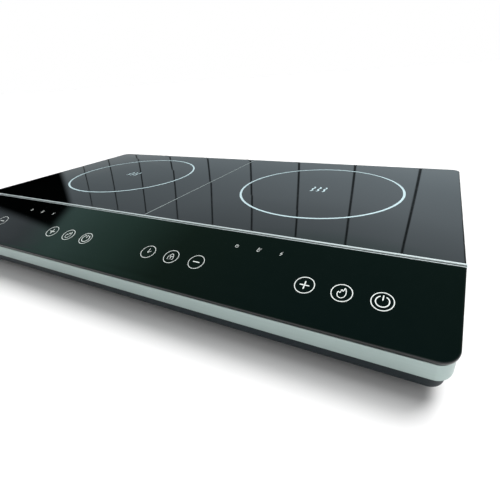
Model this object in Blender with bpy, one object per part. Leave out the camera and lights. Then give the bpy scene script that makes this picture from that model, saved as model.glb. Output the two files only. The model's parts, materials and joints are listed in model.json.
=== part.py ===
"""A two-zone portable induction cooktop, taken apart into its real pieces. Metres, +Z up.

The origin is on the table, under the middle of the cooktop. -Y faces the user, +X is to the user's right.
The two cooking zones are alike, so each zone's pieces are made once and placed twice.
"""

import math

import bmesh
import bpy
from mathutils import Matrix, Vector

# Overall size
WIDTH = 0.600
DEPTH = 0.348
TOP_HEIGHT = 0.062  # top face of the cooking glass
FRONT, BACK = -DEPTH / 2, DEPTH / 2
GAP = 0.0003  # clearance between pieces that touch

# The two glasses and the trim between them
GLASS = 0.004
FRONT_CORNER, BACK_CORNER = 0.012, 0.010
PANEL_SLOPE = math.radians(20)
PANEL_LENGTH = 0.076
PANEL_DROP = 0.0004  # how far the control glass starts below the cooking glass
TRIM_WIDTH = 0.0055
PANEL_TOP_Y = FRONT + PANEL_LENGTH * math.cos(PANEL_SLOPE)
PANEL_TOP_Z = TOP_HEIGHT - PANEL_DROP
COOKING_FRONT_Y = PANEL_TOP_Y + TRIM_WIDTH

# Surround frame: a band under the glasses with a ledge that carries them
FRAME_INSET = 0.0012
FRAME_FRONT = FRONT + 0.0017
BAND_HEIGHT = 0.0124
BAND_WALL = 0.002
LEDGE_WIDTH = 0.012
REAR_LEDGE_WIDTH = 0.022
LEDGE_TOP, LEDGE_BOTTOM = 0.0014, 0.0035  # below the glass
BAR_FRONT_Y, BAR_BACK_Y = -0.108, -0.093
BOSS_RADIUS = 0.0045

# Base shell and what it stands on
FOOT_HEIGHT = 0.008
WALL = 0.0024
FLOOR_TOP = FOOT_HEIGHT + WALL
BASE_LEVELS = ((0.008, 0.0090), (0.0084, 0.0072), (0.0098, 0.0056), (0.0125, 0.0046), (0.060, 0.0037))
FOOT_X, FRONT_FOOT_Y, REAR_FOOT_Y = 0.250, -0.140, 0.130
FOOT_RADIUS, FOOT_PIN_RADIUS = 0.010, 0.003
SCREW_X, FRONT_SCREW_Y, REAR_SCREW_Y = 0.270, -0.1005, 0.152
SCREW_RADIUS = 0.0013
GLAND_Z, GLAND_HOLE = 0.028, 0.0066

# One cooking zone, measured from the zone's centre line
ZONE_X = 0.150
COIL_Y = 0.042
COIL_INNER, COIL_OUTER = 0.024, 0.090
FERRITE_BOTTOM, FERRITE_TOP = 0.046, 0.050
FORMER_BOTTOM, FORMER_TOP = 0.0503, 0.0533
COIL_BOTTOM, COIL_TOP = 0.0536, 0.0568
EAR_RADIUS = 0.098
COIL_POST_ANGLES = (90, 210, 330)
FAN_Y, FAN_SIZE, FAN_DEPTH = 0.092, 0.080, 0.015
FAN_BOTTOM = FLOOR_TOP + 0.0004
FAN_OPENING, ROTOR_RADIUS, HUB_RADIUS, SHAFT_RADIUS = 0.038, 0.0365, 0.015, 0.0015
BLADES = 7
BOARD_X, BOARD_FRONT, BOARD_BACK = 0.075, -0.090, 0.042
BOARD_BOTTOM, BOARD_THICKNESS = 0.016, 0.0016
BOARD_POSTS = tuple((x, y) for x in (-0.068, 0.068) for y in (-0.083, 0.035))
CONTROL_X = 0.1476  # centre line of each control group


# ---------------------------------------------------------------- tools


def material(name, colour, roughness, metallic=0.0):
    """A plain finish, made once and shared."""
    found = bpy.data.materials.get(name)
    if found:
        return found
    made = bpy.data.materials.new(name)
    made.use_nodes = True
    shader = made.node_tree.nodes["Principled BSDF"]
    shader.inputs["Base Color"].default_value = (*colour, 1.0)
    shader.inputs["Roughness"].default_value = roughness
    shader.inputs["Metallic"].default_value = metallic
    return made


def finish_mesh(bm):
    """Merges doubles, turns every face outwards and gives the mesh."""
    bmesh.ops.remove_doubles(bm, verts=bm.verts, dist=1e-6)
    bmesh.ops.recalc_face_normals(bm, faces=bm.faces)
    mesh = bpy.data.meshes.new("piece")
    bm.to_mesh(mesh)
    bm.free()
    return mesh


def place(name, mesh, finish, at=(0, 0, 0), parent=None):
    """Shows a mesh as a named piece with its own finish."""
    piece = bpy.data.objects.new(name, mesh)
    bpy.context.scene.collection.objects.link(piece)
    piece.location = at
    piece.parent = parent
    if not mesh.materials:
        mesh.materials.append(finish)
        mesh.shade_smooth()
        mesh.set_sharp_from_angle(angle=math.radians(35))
    return piece


def empty(name, at, turn=(0, 0, 0)):
    """A named point that pieces are parented to."""
    made = bpy.data.objects.new(name, None)
    bpy.context.scene.collection.objects.link(made)
    made.location = at
    made.rotation_euler = turn
    return made


def rectangle(half_x, front, back, front_radius=0.0, back_radius=0.0, steps=6):
    """A plan outline, anticlockwise from the front left. A radius of 0 is a square corner."""
    corners = (
        (-half_x, front, front_radius, 180),
        (half_x, front, front_radius, 270),
        (half_x, back, back_radius, 0),
        (-half_x, back, back_radius, 90),
    )
    points = []
    for x, y, radius, start in corners:
        if radius <= 0:
            points.append((x, y))
            continue
        cx = x - math.copysign(radius, x)
        cy = y - radius if start in (0, 90) else y + radius
        for step in range(steps + 1):
            angle = math.radians(start + 90 * step / steps)
            points.append((cx + radius * math.cos(angle), cy + radius * math.sin(angle)))
    return points


def extruded(corners, path):
    """A closed prism: a polygon of 3-D corners swept along the vector path."""
    bm = bmesh.new()
    face = bm.faces.new([bm.verts.new(corner) for corner in corners])
    swept = bmesh.ops.extrude_face_region(bm, geom=[face], use_keep_orig=True)
    moved = [item for item in swept["geom"] if isinstance(item, bmesh.types.BMVert)]
    bmesh.ops.translate(bm, verts=moved, vec=path)
    return finish_mesh(bm)


def prism(outline, bottom, top):
    """A plan outline raised from bottom to top."""
    return extruded([(x, y, bottom) for x, y in outline], (0, 0, top - bottom))


def side_prism(outline, half_x):
    """A side outline of (y, z) points, as wide as twice half_x."""
    return extruded([(-half_x, y, z) for y, z in outline], (2 * half_x, 0, 0))


def block(size, centre):
    """A box of that size round its centre."""
    bm = bmesh.new()
    bmesh.ops.create_cube(bm, size=1, matrix=Matrix.Translation(centre) @ Matrix.Diagonal((*size, 1)))
    return finish_mesh(bm)


def turned(profile, steps=24):
    """A profile of (radius, z) points spun round Z. Both ends are on the axis, or are one point."""
    bm = bmesh.new()
    points = [bm.verts.new((radius, 0, z)) for radius, z in profile]
    edges = [bm.edges.new(pair) for pair in zip(points, points[1:])]
    bmesh.ops.spin(
        bm,
        geom=points + edges,
        axis=(0, 0, 1),
        cent=(0, 0, 0),
        angle=math.tau,
        steps=steps,
        use_merge=True,
    )
    return finish_mesh(bm)


def disc(radius, bottom, top, steps=24):
    """A solid cylinder on the Z axis."""
    return turned([(0, bottom), (radius, bottom), (radius, top), (0, top)], steps)


def ring(inner, outer, bottom, top, steps=48):
    """A flat ring round the Z axis."""
    return turned([(inner, bottom), (outer, bottom), (outer, top), (inner, top), (inner, bottom)], steps)


def moved(mesh, at=(0, 0, 0), turn=0.0, axis="Z"):
    """A copy of the mesh, turned about an axis and then shifted."""
    made = mesh.copy()
    made.transform(Matrix.Translation(at) @ Matrix.Rotation(turn, 4, axis))
    return made


def gathered(meshes):
    """Several meshes that don't touch, as one."""
    bm = bmesh.new()
    for mesh in meshes:
        bm.from_mesh(mesh)
    made = bpy.data.meshes.new("group")
    bm.to_mesh(made)
    bm.free()
    return made


def combined(body, tool, operation):
    """What is left after one Boolean step: DIFFERENCE, UNION or INTERSECT."""
    holder = bpy.data.objects.new("body", body)
    cutter = bpy.data.objects.new("tool", tool)
    for item in (holder, cutter):
        bpy.context.scene.collection.objects.link(item)
    step = holder.modifiers.new("step", "BOOLEAN")
    step.operation = operation
    step.object = cutter
    graph = bpy.context.evaluated_depsgraph_get()
    made = bpy.data.meshes.new_from_object(holder.evaluated_get(graph))
    for item in (holder, cutter):
        bpy.data.objects.remove(item)
    return made


def tube(name, points, radius, finish, parent):
    """A round lead on a smooth curve through the points, with closed ends."""
    curve = bpy.data.curves.new(name, "CURVE")
    curve.dimensions = "3D"
    curve.bevel_depth = radius
    curve.bevel_resolution = 2
    curve.use_fill_caps = True
    line = curve.splines.new("POLY")
    spots = smooth_line(points, 5)
    line.points.add(len(spots) - 1)
    for point, spot in zip(line.points, spots):
        point.co = (*spot, 1)
    piece = bpy.data.objects.new(name, curve)
    bpy.context.scene.collection.objects.link(piece)
    piece.parent = parent
    curve.materials.append(finish)
    return piece


def smooth_line(points, steps):
    """Points on a Catmull-Rom curve through the given ones."""
    spots = [Vector(p) for p in points]
    spots = [2 * spots[0] - spots[1], *spots, 2 * spots[-1] - spots[-2]]
    line = []
    for a, b, c, d in zip(spots, spots[1:], spots[2:], spots[3:]):
        for step in range(steps):
            t = step / steps
            line.append(
                b
                + 0.5 * (c - a) * t
                + 0.5 * (2 * a - 5 * b + 4 * c - d) * t**2
                + 0.5 * (3 * b - a - 3 * c + d) * t**3
            )
    return [*line, spots[-2]]


# ---------------------------------------------------------------- shared shapes


def glass_underside(y):
    """Height of the glasses' underside at y: flat behind the bend, sloped in front of it."""
    sloped = PANEL_TOP_Z + (y - PANEL_TOP_Y) * math.tan(PANEL_SLOPE) - GLASS / math.cos(PANEL_SLOPE)
    return min(TOP_HEIGHT - GLASS, sloped)


def bent_slab(top, bottom):
    """A wide slab that follows the glasses, from top to bottom below their underside."""
    flat = TOP_HEIGHT - GLASS
    bend_y = PANEL_TOP_Y + (flat - PANEL_TOP_Z + GLASS / math.cos(PANEL_SLOPE)) / math.tan(PANEL_SLOPE)
    line = ((FRONT - 0.02, glass_underside(FRONT - 0.02)), (bend_y, flat), (BACK + 0.02, flat))
    outline = [(y, z - top) for y, z in line] + [(y, z - bottom) for y, z in reversed(line)]
    return side_prism(outline, WIDTH / 2 + 0.02)


def frame_outline(inset):
    """The frame's plan outline, drawn in from its outer face."""
    return rectangle(
        WIDTH / 2 - FRAME_INSET - inset,
        FRAME_FRONT + inset,
        BACK - FRAME_INSET - inset,
        FRONT_CORNER - FRAME_INSET - inset,
        BACK_CORNER - FRAME_INSET - inset,
    )


def windows(margin, bottom, top):
    """The frame's two openings, one under each glass, drawn in by margin."""
    half_x = WIDTH / 2 - FRAME_INSET - LEDGE_WIDTH - margin
    rear_back = BACK - FRAME_INSET - REAR_LEDGE_WIDTH - margin
    rear = rectangle(half_x, BAR_BACK_Y + margin, rear_back, 0.006, 0.006, 3)
    front = rectangle(half_x, FRAME_FRONT + LEDGE_WIDTH + margin, BAR_FRONT_Y - margin, 0.006, 0.006, 3)
    return gathered([prism(rear, bottom, top), prism(front, bottom, top)])


# ---------------------------------------------------------------- outside pieces


def cooking_glass():
    outline = rectangle(WIDTH / 2, COOKING_FRONT_Y, BACK, 0, BACK_CORNER)
    mesh = prism(outline, TOP_HEIGHT - GLASS, TOP_HEIGHT)
    place("cooking_glass", mesh, material("black_glass", (0.010, 0.011, 0.013), 0.05))


def control_glass():
    slope = empty("control_glass_slope", (0, PANEL_TOP_Y, PANEL_TOP_Z), (PANEL_SLOPE, 0, 0))
    mesh = prism(rectangle(WIDTH / 2, -PANEL_LENGTH, 0, FRONT_CORNER, 0), -GLASS, 0)
    place("control_glass", mesh, material("black_glass", (0.010, 0.011, 0.013), 0.05), parent=slope)


def trim_bead():
    """A raised bead and a lower lip with a groove between them, in the joint of the two glasses."""
    rear, front = COOKING_FRONT_Y - GAP, PANEL_TOP_Y + GAP
    bottom, crown, lip = TOP_HEIGHT - GLASS + GAP, TOP_HEIGHT + 0.0005, TOP_HEIGHT
    bead, groove, round_off = 0.0031, 0.0006, 0.0003
    outline = [
        (rear, bottom),
        (rear, crown - round_off),
        (rear - round_off, crown),
        (rear - bead + round_off, crown),
        (rear - bead, crown - round_off),
        (rear - bead, lip - 0.0009),
        (rear - bead - groove, lip - 0.0009),
        (rear - bead - groove, lip),
        (front + round_off, lip),
        (front, lip - round_off),
        (front + (lip - bottom) * math.tan(PANEL_SLOPE), bottom),
    ]
    bright = material("bright_aluminium", (0.72, 0.76, 0.75), 0.3, 1.0)
    place("trim_bead", side_prism(outline, WIDTH / 2), bright)


def surround_frame():
    """The silver band, its ledge with a rebate for the seal, the cross bar and four screw bosses."""
    mesh = combined(prism(frame_outline(0), 0, 0.08), bent_slab(GAP, BAND_HEIGHT), "INTERSECT")
    inner = frame_outline(BAND_WALL)
    below = combined(prism(inner, 0, 0.08), bent_slab(LEDGE_BOTTOM, BAND_HEIGHT + 0.01), "INTERSECT")
    mesh = combined(mesh, below, "DIFFERENCE")
    above = combined(prism(inner, 0, 0.08), bent_slab(-0.01, LEDGE_TOP), "INTERSECT")
    mesh = combined(mesh, above, "DIFFERENCE")
    mesh = combined(mesh, windows(0, -0.01, 0.09), "DIFFERENCE")
    boss = disc(BOSS_RADIUS, FLOOR_TOP + GAP, 0.0548, 16)
    pilot = disc(SCREW_RADIUS + GAP, 0, 0.030, 8)
    spots = [(x, y, 0) for x in (-SCREW_X, SCREW_X) for y in (FRONT_SCREW_Y, REAR_SCREW_Y)]
    mesh = combined(mesh, gathered([moved(boss, spot) for spot in spots]), "UNION")
    mesh = combined(mesh, gathered([moved(pilot, spot) for spot in spots]), "DIFFERENCE")
    place("surround_frame", mesh, material("satin_silver", (0.50, 0.54, 0.53), 0.36, 1.0))


def glass_seal():
    """The silicone bed between the frame's ledge and both glasses."""
    layer = bent_slab(GAP, LEDGE_TOP - GAP)
    bed = combined(prism(frame_outline(BAND_WALL + GAP), 0, 0.08), layer, "INTERSECT")
    bed = combined(bed, windows(-0.002, -0.01, 0.09), "DIFFERENCE")
    place("glass_seal", bed, material("grey_silicone", (0.05, 0.05, 0.05), 0.7))


def base_tub(shrink, floor):
    """A tub with drafted sides and a round lower edge, drawn in by shrink."""
    bm = bmesh.new()
    loops = []
    for z, inset in BASE_LEVELS:
        inset += shrink
        outline = rectangle(
            WIDTH / 2 - inset,
            FRONT + inset,
            BACK - inset,
            FRONT_CORNER - 0.5 * inset,
            BACK_CORNER - 0.5 * inset,
            5,
        )
        height = max(z, floor) if z < 0.05 else z + shrink
        if loops and height <= loops[-1][0].co.z + 1e-5:
            height = loops[-1][0].co.z + 0.001
        loops.append([bm.verts.new((x, y, height)) for x, y in outline])
    for low, high in zip(loops, loops[1:]):
        for i in range(len(low)):
            j = (i + 1) % len(low)
            bm.faces.new((low[i], low[j], high[j], high[i]))
    bm.faces.new(reversed(loops[0]))
    bm.faces.new(loops[-1])
    return finish_mesh(bm)


def stepped_post(radius, shoulder, pin_radius, top):
    """A moulded post with a locating pin, rooted in the floor."""
    root = FLOOR_TOP - 0.001
    post = [(0, root), (radius, root), (radius, shoulder)]
    pin = [(pin_radius, shoulder), (pin_radius, top), (0, top)]
    return turned(post + pin, 10)


def coil_post_spots():
    """Where the three ears of each coil former stand, from the zone's centre line."""
    for degrees in COIL_POST_ANGLES:
        angle = math.radians(degrees)
        yield EAR_RADIUS * math.cos(angle), COIL_Y + EAR_RADIUS * math.sin(angle)


def base_posts():
    """Posts for the coil formers and the power boards of both zones."""
    coil_post = stepped_post(0.004, FORMER_BOTTOM - GAP, 0.0015, FORMER_TOP + 0.001)
    board_post = stepped_post(0.0035, BOARD_BOTTOM - GAP, 0.0013, BOARD_BOTTOM + BOARD_THICKNESS + 0.001)
    for zone in (-ZONE_X, ZONE_X):
        for x, y in coil_post_spots():
            yield moved(coil_post, (zone + x, y, 0))
        for x, y in BOARD_POSTS:
            yield moved(board_post, (zone + x, y, 0))


def intake_slots():
    """Parallel slots in the floor that fill a circle under each fan."""
    slot_width, pitch, reach = 0.003, 0.0066, 0.036
    for zone in (-ZONE_X, ZONE_X):
        for row in range(-5, 6):
            offset = row * pitch
            length = 2 * math.sqrt(reach**2 - offset**2)
            yield block((slot_width, length, 0.02), (zone + offset, FAN_Y, FOOT_HEIGHT))


def rear_slots():
    """Upright exhaust slots in the rear wall, behind each zone."""
    count, pitch, height = 15, 0.008, 0.016
    for zone in (-ZONE_X, ZONE_X):
        for i in range(count):
            x = zone + (i - (count - 1) / 2) * pitch
            yield block((0.003, 0.02, height), (x, BACK - 0.006, 0.029))


def side_slots():
    """Upright exhaust slots in both side walls."""
    count, pitch, height = 11, 0.008, 0.016
    for side in (-1, 1):
        for i in range(count):
            yield block((0.02, 0.003, height), (side * (WIDTH / 2 - 0.006), 0.030 + i * pitch, 0.029))


def floor_holes():
    """Holes for the feet's pins and the case screws."""
    foot_hole = disc(FOOT_PIN_RADIUS + GAP, 0, 0.02, 12)
    screw_hole = disc(SCREW_RADIUS + 2 * GAP, 0, 0.02, 8)
    for side in (-1, 1):
        for y in (FRONT_FOOT_Y, REAR_FOOT_Y):
            yield moved(foot_hole, (side * FOOT_X, y, 0))
        for y in (FRONT_SCREW_Y, REAR_SCREW_Y):
            yield moved(screw_hole, (side * SCREW_X, y, 0))


def base_shell():
    """The black lower case, open at the top, with its posts, vents, holes and cord inlet."""
    mesh = combined(base_tub(0, FOOT_HEIGHT), bent_slab(LEDGE_BOTTOM + GAP, 0.2), "INTERSECT")
    mesh = combined(mesh, base_tub(WALL, FLOOR_TOP), "DIFFERENCE")
    mesh = combined(mesh, gathered(base_posts()), "UNION")
    inlet = disc(GLAND_HOLE + GAP, -0.02, 0.02, 16)
    gland_hole = moved(inlet, (0, BACK - 0.006, GLAND_Z), math.pi / 2, "X")
    cuts = [*intake_slots(), *rear_slots(), *side_slots(), *floor_holes(), gland_hole]
    mesh = combined(mesh, gathered(cuts), "DIFFERENCE")
    place("base_shell", mesh, material("black_case_plastic", (0.018, 0.022, 0.026), 0.45))


def feet():
    """Four rubber feet, each held by a pin with a barb inside the floor."""
    body_top, pin_top = FOOT_HEIGHT - GAP, FLOOR_TOP + 0.002
    profile = [
        (0, 0),
        (FOOT_RADIUS - 0.001, 0),
        (FOOT_RADIUS, 0.001),
        (FOOT_RADIUS - 0.001, body_top),
        (FOOT_PIN_RADIUS, body_top),
        (FOOT_PIN_RADIUS, FLOOR_TOP + GAP),
        (FOOT_PIN_RADIUS + 0.0008, FLOOR_TOP + GAP),
        (FOOT_PIN_RADIUS - 0.001, pin_top),
        (0, pin_top),
    ]
    mesh = turned(profile, 24)
    rubber = material("foot_rubber", (0.02, 0.02, 0.02), 0.85)
    for row, y in (("front", FRONT_FOOT_Y), ("rear", REAR_FOOT_Y)):
        for side, x in (("left", -FOOT_X), ("right", FOOT_X)):
            place(f"{row}_{side}_foot", mesh, rubber, (x, y, 0))


def case_screws():
    """Four pan-head screws, driven from below through the floor into the frame's bosses."""
    head_top = FOOT_HEIGHT - GAP
    profile = [
        (0, head_top - 0.0018),
        (0.0022, head_top - 0.0018),
        (0.0032, head_top - 0.0010),
        (0.0032, head_top),
        (SCREW_RADIUS, head_top),
        (SCREW_RADIUS, 0.024),
        (0, 0.025),
    ]
    mesh = turned(profile, 12)
    steel = material("zinc_steel", (0.55, 0.55, 0.53), 0.35, 1.0)
    for row, y in (("front", FRONT_SCREW_Y), ("rear", REAR_SCREW_Y)):
        for side, x in (("left", -SCREW_X), ("right", SCREW_X)):
            place(f"{row}_{side}_case_screw", mesh, steel, (x, y, 0))


def cord_gland():
    """The mains lead's bush in the rear wall: a collar outside, a snap ridge inside, a hole through."""
    bore, barrel = 0.0045, GLAND_HOLE
    collar_in, collar_out = BACK - 0.0038, BACK - 0.0008
    ridge_out, ridge_in, end = BACK - 0.0095, BACK - 0.0120, BACK - 0.0160
    profile = [
        (bore, -end),
        (barrel, -end),
        (barrel + 0.0014, -ridge_in),
        (barrel, -ridge_out),
        (barrel, -collar_in),
        (barrel + 0.0030, -collar_in),
        (barrel + 0.0022, -collar_out),
        (bore, -collar_out),
        (bore, -end),
    ]
    mesh = moved(turned(profile, 24), turn=math.pi / 2, axis="X")
    place("cord_gland", mesh, material("gland_rubber", (0.015, 0.015, 0.016), 0.7), (0, 0, GLAND_Z))


# ---------------------------------------------------------------- mains pieces between the zones


def mains_pieces():
    """The terminal block behind the gland and the filter choke in front of it."""
    width, depth, height = 0.030, 0.020, 0.016
    seat = FLOOR_TOP + GAP
    body = block((width, depth, height), (0, 0.130, seat + height / 2))
    for i in (-1, 0, 1):
        pocket = moved(disc(0.0032, 0, 0.012, 12), (i * 0.0095, 0.130, seat + height - 0.007))
        body = combined(body, pocket, "DIFFERENCE")
    place("mains_terminal_block", body, material("cream_nylon", (0.62, 0.60, 0.52), 0.5))
    hole, rim, chamfer, thick = 0.008, 0.018, 0.002, 0.014
    lower = [(hole, 0), (rim - chamfer, 0), (rim, chamfer)]
    upper = [(rim, thick - chamfer), (rim - chamfer, thick), (hole, thick)]
    copper = material("copper_winding", (0.60, 0.25, 0.10), 0.35, 1.0)
    place("mains_filter_choke", turned([*lower, *upper, lower[0]], 28), copper, (0, 0.070, seat))


# ---------------------------------------------------------------- one cooking zone


def coil_former_mesh():
    """A plastic disc with four openings, and three ears that stand on the base's posts."""
    mesh = ring(0.014, 0.088, FORMER_BOTTOM, FORMER_TOP, 48)
    mid = (FORMER_BOTTOM + FORMER_TOP) / 2
    thickness = FORMER_TOP - FORMER_BOTTOM
    for degrees in COIL_POST_ANGLES:
        angle = math.radians(degrees)
        ear = moved(block((0.020, 0.014, thickness), (0.094, 0, mid)), turn=angle)
        mesh = combined(mesh, ear, "UNION")
        hole = disc(0.0015 + 2 * GAP, 0, 0.08, 10)
        spot = (EAR_RADIUS * math.cos(angle), EAR_RADIUS * math.sin(angle), 0)
        mesh = combined(mesh, moved(hole, spot), "DIFFERENCE")
    opening = block((0.040, 0.014, 0.02), (0.055, 0, mid))
    openings = [moved(opening, turn=math.radians(90 * i)) for i in range(4)]
    return combined(mesh, gathered(openings), "DIFFERENCE")


def fan_frame_mesh():
    """A square fan housing with a round duct, a motor seat on four struts and the shaft."""
    half = FAN_SIZE / 2
    mesh = prism(rectangle(half, -half, half, 0.004, 0.004, 3), 0, FAN_DEPTH)
    mesh = combined(mesh, disc(FAN_OPENING, -0.01, 0.03, 40), "DIFFERENCE")
    hole = disc(0.0021, -0.01, 0.03, 10)
    corners = [moved(hole, (x, y, 0)) for x in (-0.03575, 0.03575) for y in (-0.03575, 0.03575)]
    mesh = combined(mesh, gathered(corners), "DIFFERENCE")
    for turn in (45, 135):
        strut = block((2 * FAN_OPENING + 0.002, 0.003, 0.002), (0, 0, 0.0012))
        mesh = combined(mesh, moved(strut, turn=math.radians(turn)), "UNION")
    mesh = combined(mesh, disc(HUB_RADIUS, 0.0001, 0.0024, 24), "UNION")
    return combined(mesh, disc(SHAFT_RADIUS, 0.001, 0.0115, 12), "UNION")


def blade_mesh():
    """One fan blade, pitched about its own length."""
    root, tip, thickness = HUB_RADIUS - 0.002, ROTOR_RADIUS - 0.0002, 0.0012
    corners = [(root, -0.0045), (tip, -0.0085), (tip, 0.0085), (root, 0.0045)]
    blade = extruded([(x, y, -thickness / 2) for x, y in corners], (0, 0, thickness))
    return moved(blade, (0, 0, 0.0086), math.radians(32), "X")


def fan_rotor_mesh():
    """The hub with a blind hole for the shaft, and its blades. Its origin is on the fan's axis."""
    bore = SHAFT_RADIUS + GAP
    bottom, roof, top = 0.0030, 0.0124, 0.0138
    inside = [(0, roof), (bore, roof), (bore, bottom)]
    outside = [(HUB_RADIUS, bottom), (HUB_RADIUS, top - 0.001), (HUB_RADIUS - 0.0012, top), (0, top)]
    hub = turned(inside + outside, 28)
    for i in range(BLADES):
        blade = moved(blade_mesh(), turn=math.tau * i / BLADES)
        hub = combined(hub, blade, "UNION")
    return hub


def heatsink_mesh():
    """An extruded sink: a base plate with upright fins that run front to back."""
    half, plate, height, fin, count = 0.032, 0.004, 0.0215, 0.0014, 9
    outline = [(-half, 0), (half, 0)]
    pitch = (2 * half - fin) / (count - 1)
    for i in reversed(range(count)):
        left = -half + i * pitch
        outline += [(left + fin, height), (left, height)]
        if i:
            outline += [(left, plate), (left - pitch + fin, plate)]
    return extruded([(x, -0.030, z) for x, z in outline], (0, 0.060, 0))


def power_board_mesh():
    """The zone's power board, with holes over the base's locating pins."""
    top = BOARD_BOTTOM + BOARD_THICKNESS
    mesh = prism(rectangle(BOARD_X, BOARD_FRONT, BOARD_BACK, 0.002, 0.002, 2), BOARD_BOTTOM, top)
    hole = disc(0.0013 + GAP, 0, 0.03, 10)
    return combined(mesh, gathered([moved(hole, (x, y, 0)) for x, y in BOARD_POSTS]), "DIFFERENCE")


def control_board_mesh():
    """The touch board behind the control glass, in the sloped frame, with a window for the display."""
    back, front, below = -0.010, -0.058, -(GLASS + GAP)
    mesh = prism(rectangle(0.125, front, back, 0.002, 0.002, 2), below - 0.0016, below)
    return combined(mesh, block((0.052, 0.0206, 0.02), (0, -0.0425, below)), "DIFFERENCE")


def strip(path, thickness, half_width, at_x):
    """A flat lead along a side path of (y, z) points."""
    low = []
    for i, (y, z) in enumerate(path):
        before, after = path[max(i - 1, 0)], path[min(i + 1, len(path) - 1)]
        run = Vector((after[0] - before[0], after[1] - before[1])).normalized()
        low.append((y + thickness * run.y, z - thickness * run.x))
    corners = [(at_x - half_width, y, z) for y, z in [*path, *reversed(low)]]
    return extruded(corners, (2 * half_width, 0, 0))


def ribbon_mesh():
    """The flat lead from the touch board down to the power board."""
    route = [(-0.135, 0.0425), (-0.133, 0.036), (-0.122, 0.024), (-0.104, 0.0195), (-0.086, 0.0190)]
    path = [(spot.y, spot.z) for spot in smooth_line([(0, y, z) for y, z in route], 4)]
    return strip(path, 0.0009, 0.006, 0.045)


def ferrite_mesh():
    """A ferrite bar under the former, clear of the hub."""
    height = FERRITE_TOP - FERRITE_BOTTOM
    return block((0.052, 0.012, height), (0.055, 0, FERRITE_BOTTOM + height / 2))


def zone_meshes():
    """Every piece of one zone that both zones share: its mesh, its finish and its place."""
    black = material("black_nylon", (0.02, 0.02, 0.022), 0.5)
    epoxy = material("black_epoxy", (0.015, 0.015, 0.016), 0.4)
    green = material("green_board", (0.02, 0.12, 0.05), 0.45)
    board_top = BOARD_BOTTOM + BOARD_THICKNESS + GAP
    chip = 0.0042
    sink_x, sink_y = -0.030, 0.004
    copper = material("copper_litz", (0.58, 0.24, 0.10), 0.45, 1.0)
    cup = [(0, 0.0485), (0.006, 0.0485), (0.0075, 0.0500), (0.0070, 0.0572), (0.005, 0.0577), (0, 0.0577)]
    silicone = material("white_silicone", (0.75, 0.75, 0.72), 0.6)
    mica = material("mica", (0.55, 0.50, 0.38), 0.5)
    grey = material("capacitor_grey", (0.35, 0.36, 0.38), 0.5)
    blue = material("capacitor_blue", (0.05, 0.13, 0.40), 0.4)
    transistor = block((0.016, 0.021, chip), (sink_x - 0.014, sink_y, board_top + chip / 2))
    rectifier = block((0.026, 0.020, chip), (sink_x + 0.013, sink_y, board_top + chip / 2))
    coil = ring(COIL_INNER, COIL_OUTER, COIL_BOTTOM, COIL_TOP, 56)
    capacitor = block((0.032, 0.020, 0.026), (0.050, -0.032, board_top + 0.013))
    resonator = block((0.030, 0.017, 0.024), (0.050, 0.000, board_top + 0.012))
    return {
        "induction_coil": (coil, copper, (0, COIL_Y, 0)),
        "coil_former": (coil_former_mesh(), black, (0, COIL_Y, 0)),
        "mica_disc": (ring(0.0085, 0.092, 0.0571, 0.0576, 40), mica, (0, COIL_Y, 0)),
        "pan_sensor": (turned(cup, 20), silicone, (0, COIL_Y, 0)),
        "fan_frame": (fan_frame_mesh(), black, (0, FAN_Y, FAN_BOTTOM)),
        "fan_rotor": (fan_rotor_mesh(), black, (0, FAN_Y, FAN_BOTTOM)),
        "power_board": (power_board_mesh(), green, (0, 0, 0)),
        "power_transistor": (transistor, epoxy, (0, 0, 0)),
        "bridge_rectifier": (rectifier, epoxy, (0, 0, 0)),
        "heatsink": (
            heatsink_mesh(),
            material("mill_aluminium", (0.75, 0.76, 0.77), 0.4, 1.0),
            (sink_x, sink_y, board_top + chip + GAP),
        ),
        "smoothing_capacitor": (capacitor, grey, (0, 0, 0)),
        "resonance_capacitor": (resonator, blue, (0, 0, 0)),
        "control_ribbon": (ribbon_mesh(), material("ribbon_grey", (0.45, 0.45, 0.45), 0.6), (0, 0, 0)),
    }


def zones():
    """Both cooking zones, with their control boards under the sloped glass."""
    shared = zone_meshes()
    ferrite = ferrite_mesh()
    board = control_board_mesh()
    display = block((0.050, 0.019, 0.0075), (0, -0.0425, -(GLASS + GAP) - 0.00375))
    white = material("display_white", (0.70, 0.70, 0.68), 0.5)
    green = material("green_board", (0.02, 0.12, 0.05), 0.45)
    grey_ceramic = material("ferrite", (0.06, 0.06, 0.065), 0.6)
    sleeve = material("glass_fibre_sleeve", (0.70, 0.68, 0.62), 0.8)
    lead_end_z = BOARD_BOTTOM + BOARD_THICKNESS + 0.0018
    outer_lead = [(0.0560, -0.0350, 0.0548), (0.0600, -0.0420, 0.0530), (0.0630, -0.0520, 0.0420)]
    outer_lead += [(0.0620, -0.0600, 0.0280), (0.0600, -0.0640, lead_end_z)]
    inner_lead = [(0, 0.0140, 0.0480), (0, -0.0300, 0.0480), (0.0020, -0.0520, 0.0440)]
    inner_lead += [(0.0040, -0.0620, 0.0300), (0.0050, -0.0660, lead_end_z)]
    for side, sign in (("left", -1), ("right", 1)):
        zone = empty(f"{side}_zone", (sign * ZONE_X, 0, 0))
        slope_at = (sign * CONTROL_X, PANEL_TOP_Y, PANEL_TOP_Z)
        slope = empty(f"{side}_control_slope", slope_at, (PANEL_SLOPE, 0, 0))
        for name, (mesh, finish, at) in shared.items():
            place(f"{side}_{name}", mesh, finish, at, zone)
        for i in range(4):
            bar = place(f"{side}_ferrite_bar_{i + 1}", ferrite, grey_ceramic, (0, COIL_Y, 0), zone)
            bar.rotation_euler = (0, 0, math.radians(45 + 90 * i))
        place(f"{side}_control_board", board, green, parent=slope)
        place(f"{side}_display", display, white, parent=slope)
        tube(f"{side}_coil_outer_lead", outer_lead, 0.0018, sleeve, zone)
        tube(f"{side}_coil_inner_lead", inner_lead, 0.0018, sleeve, zone)


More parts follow.
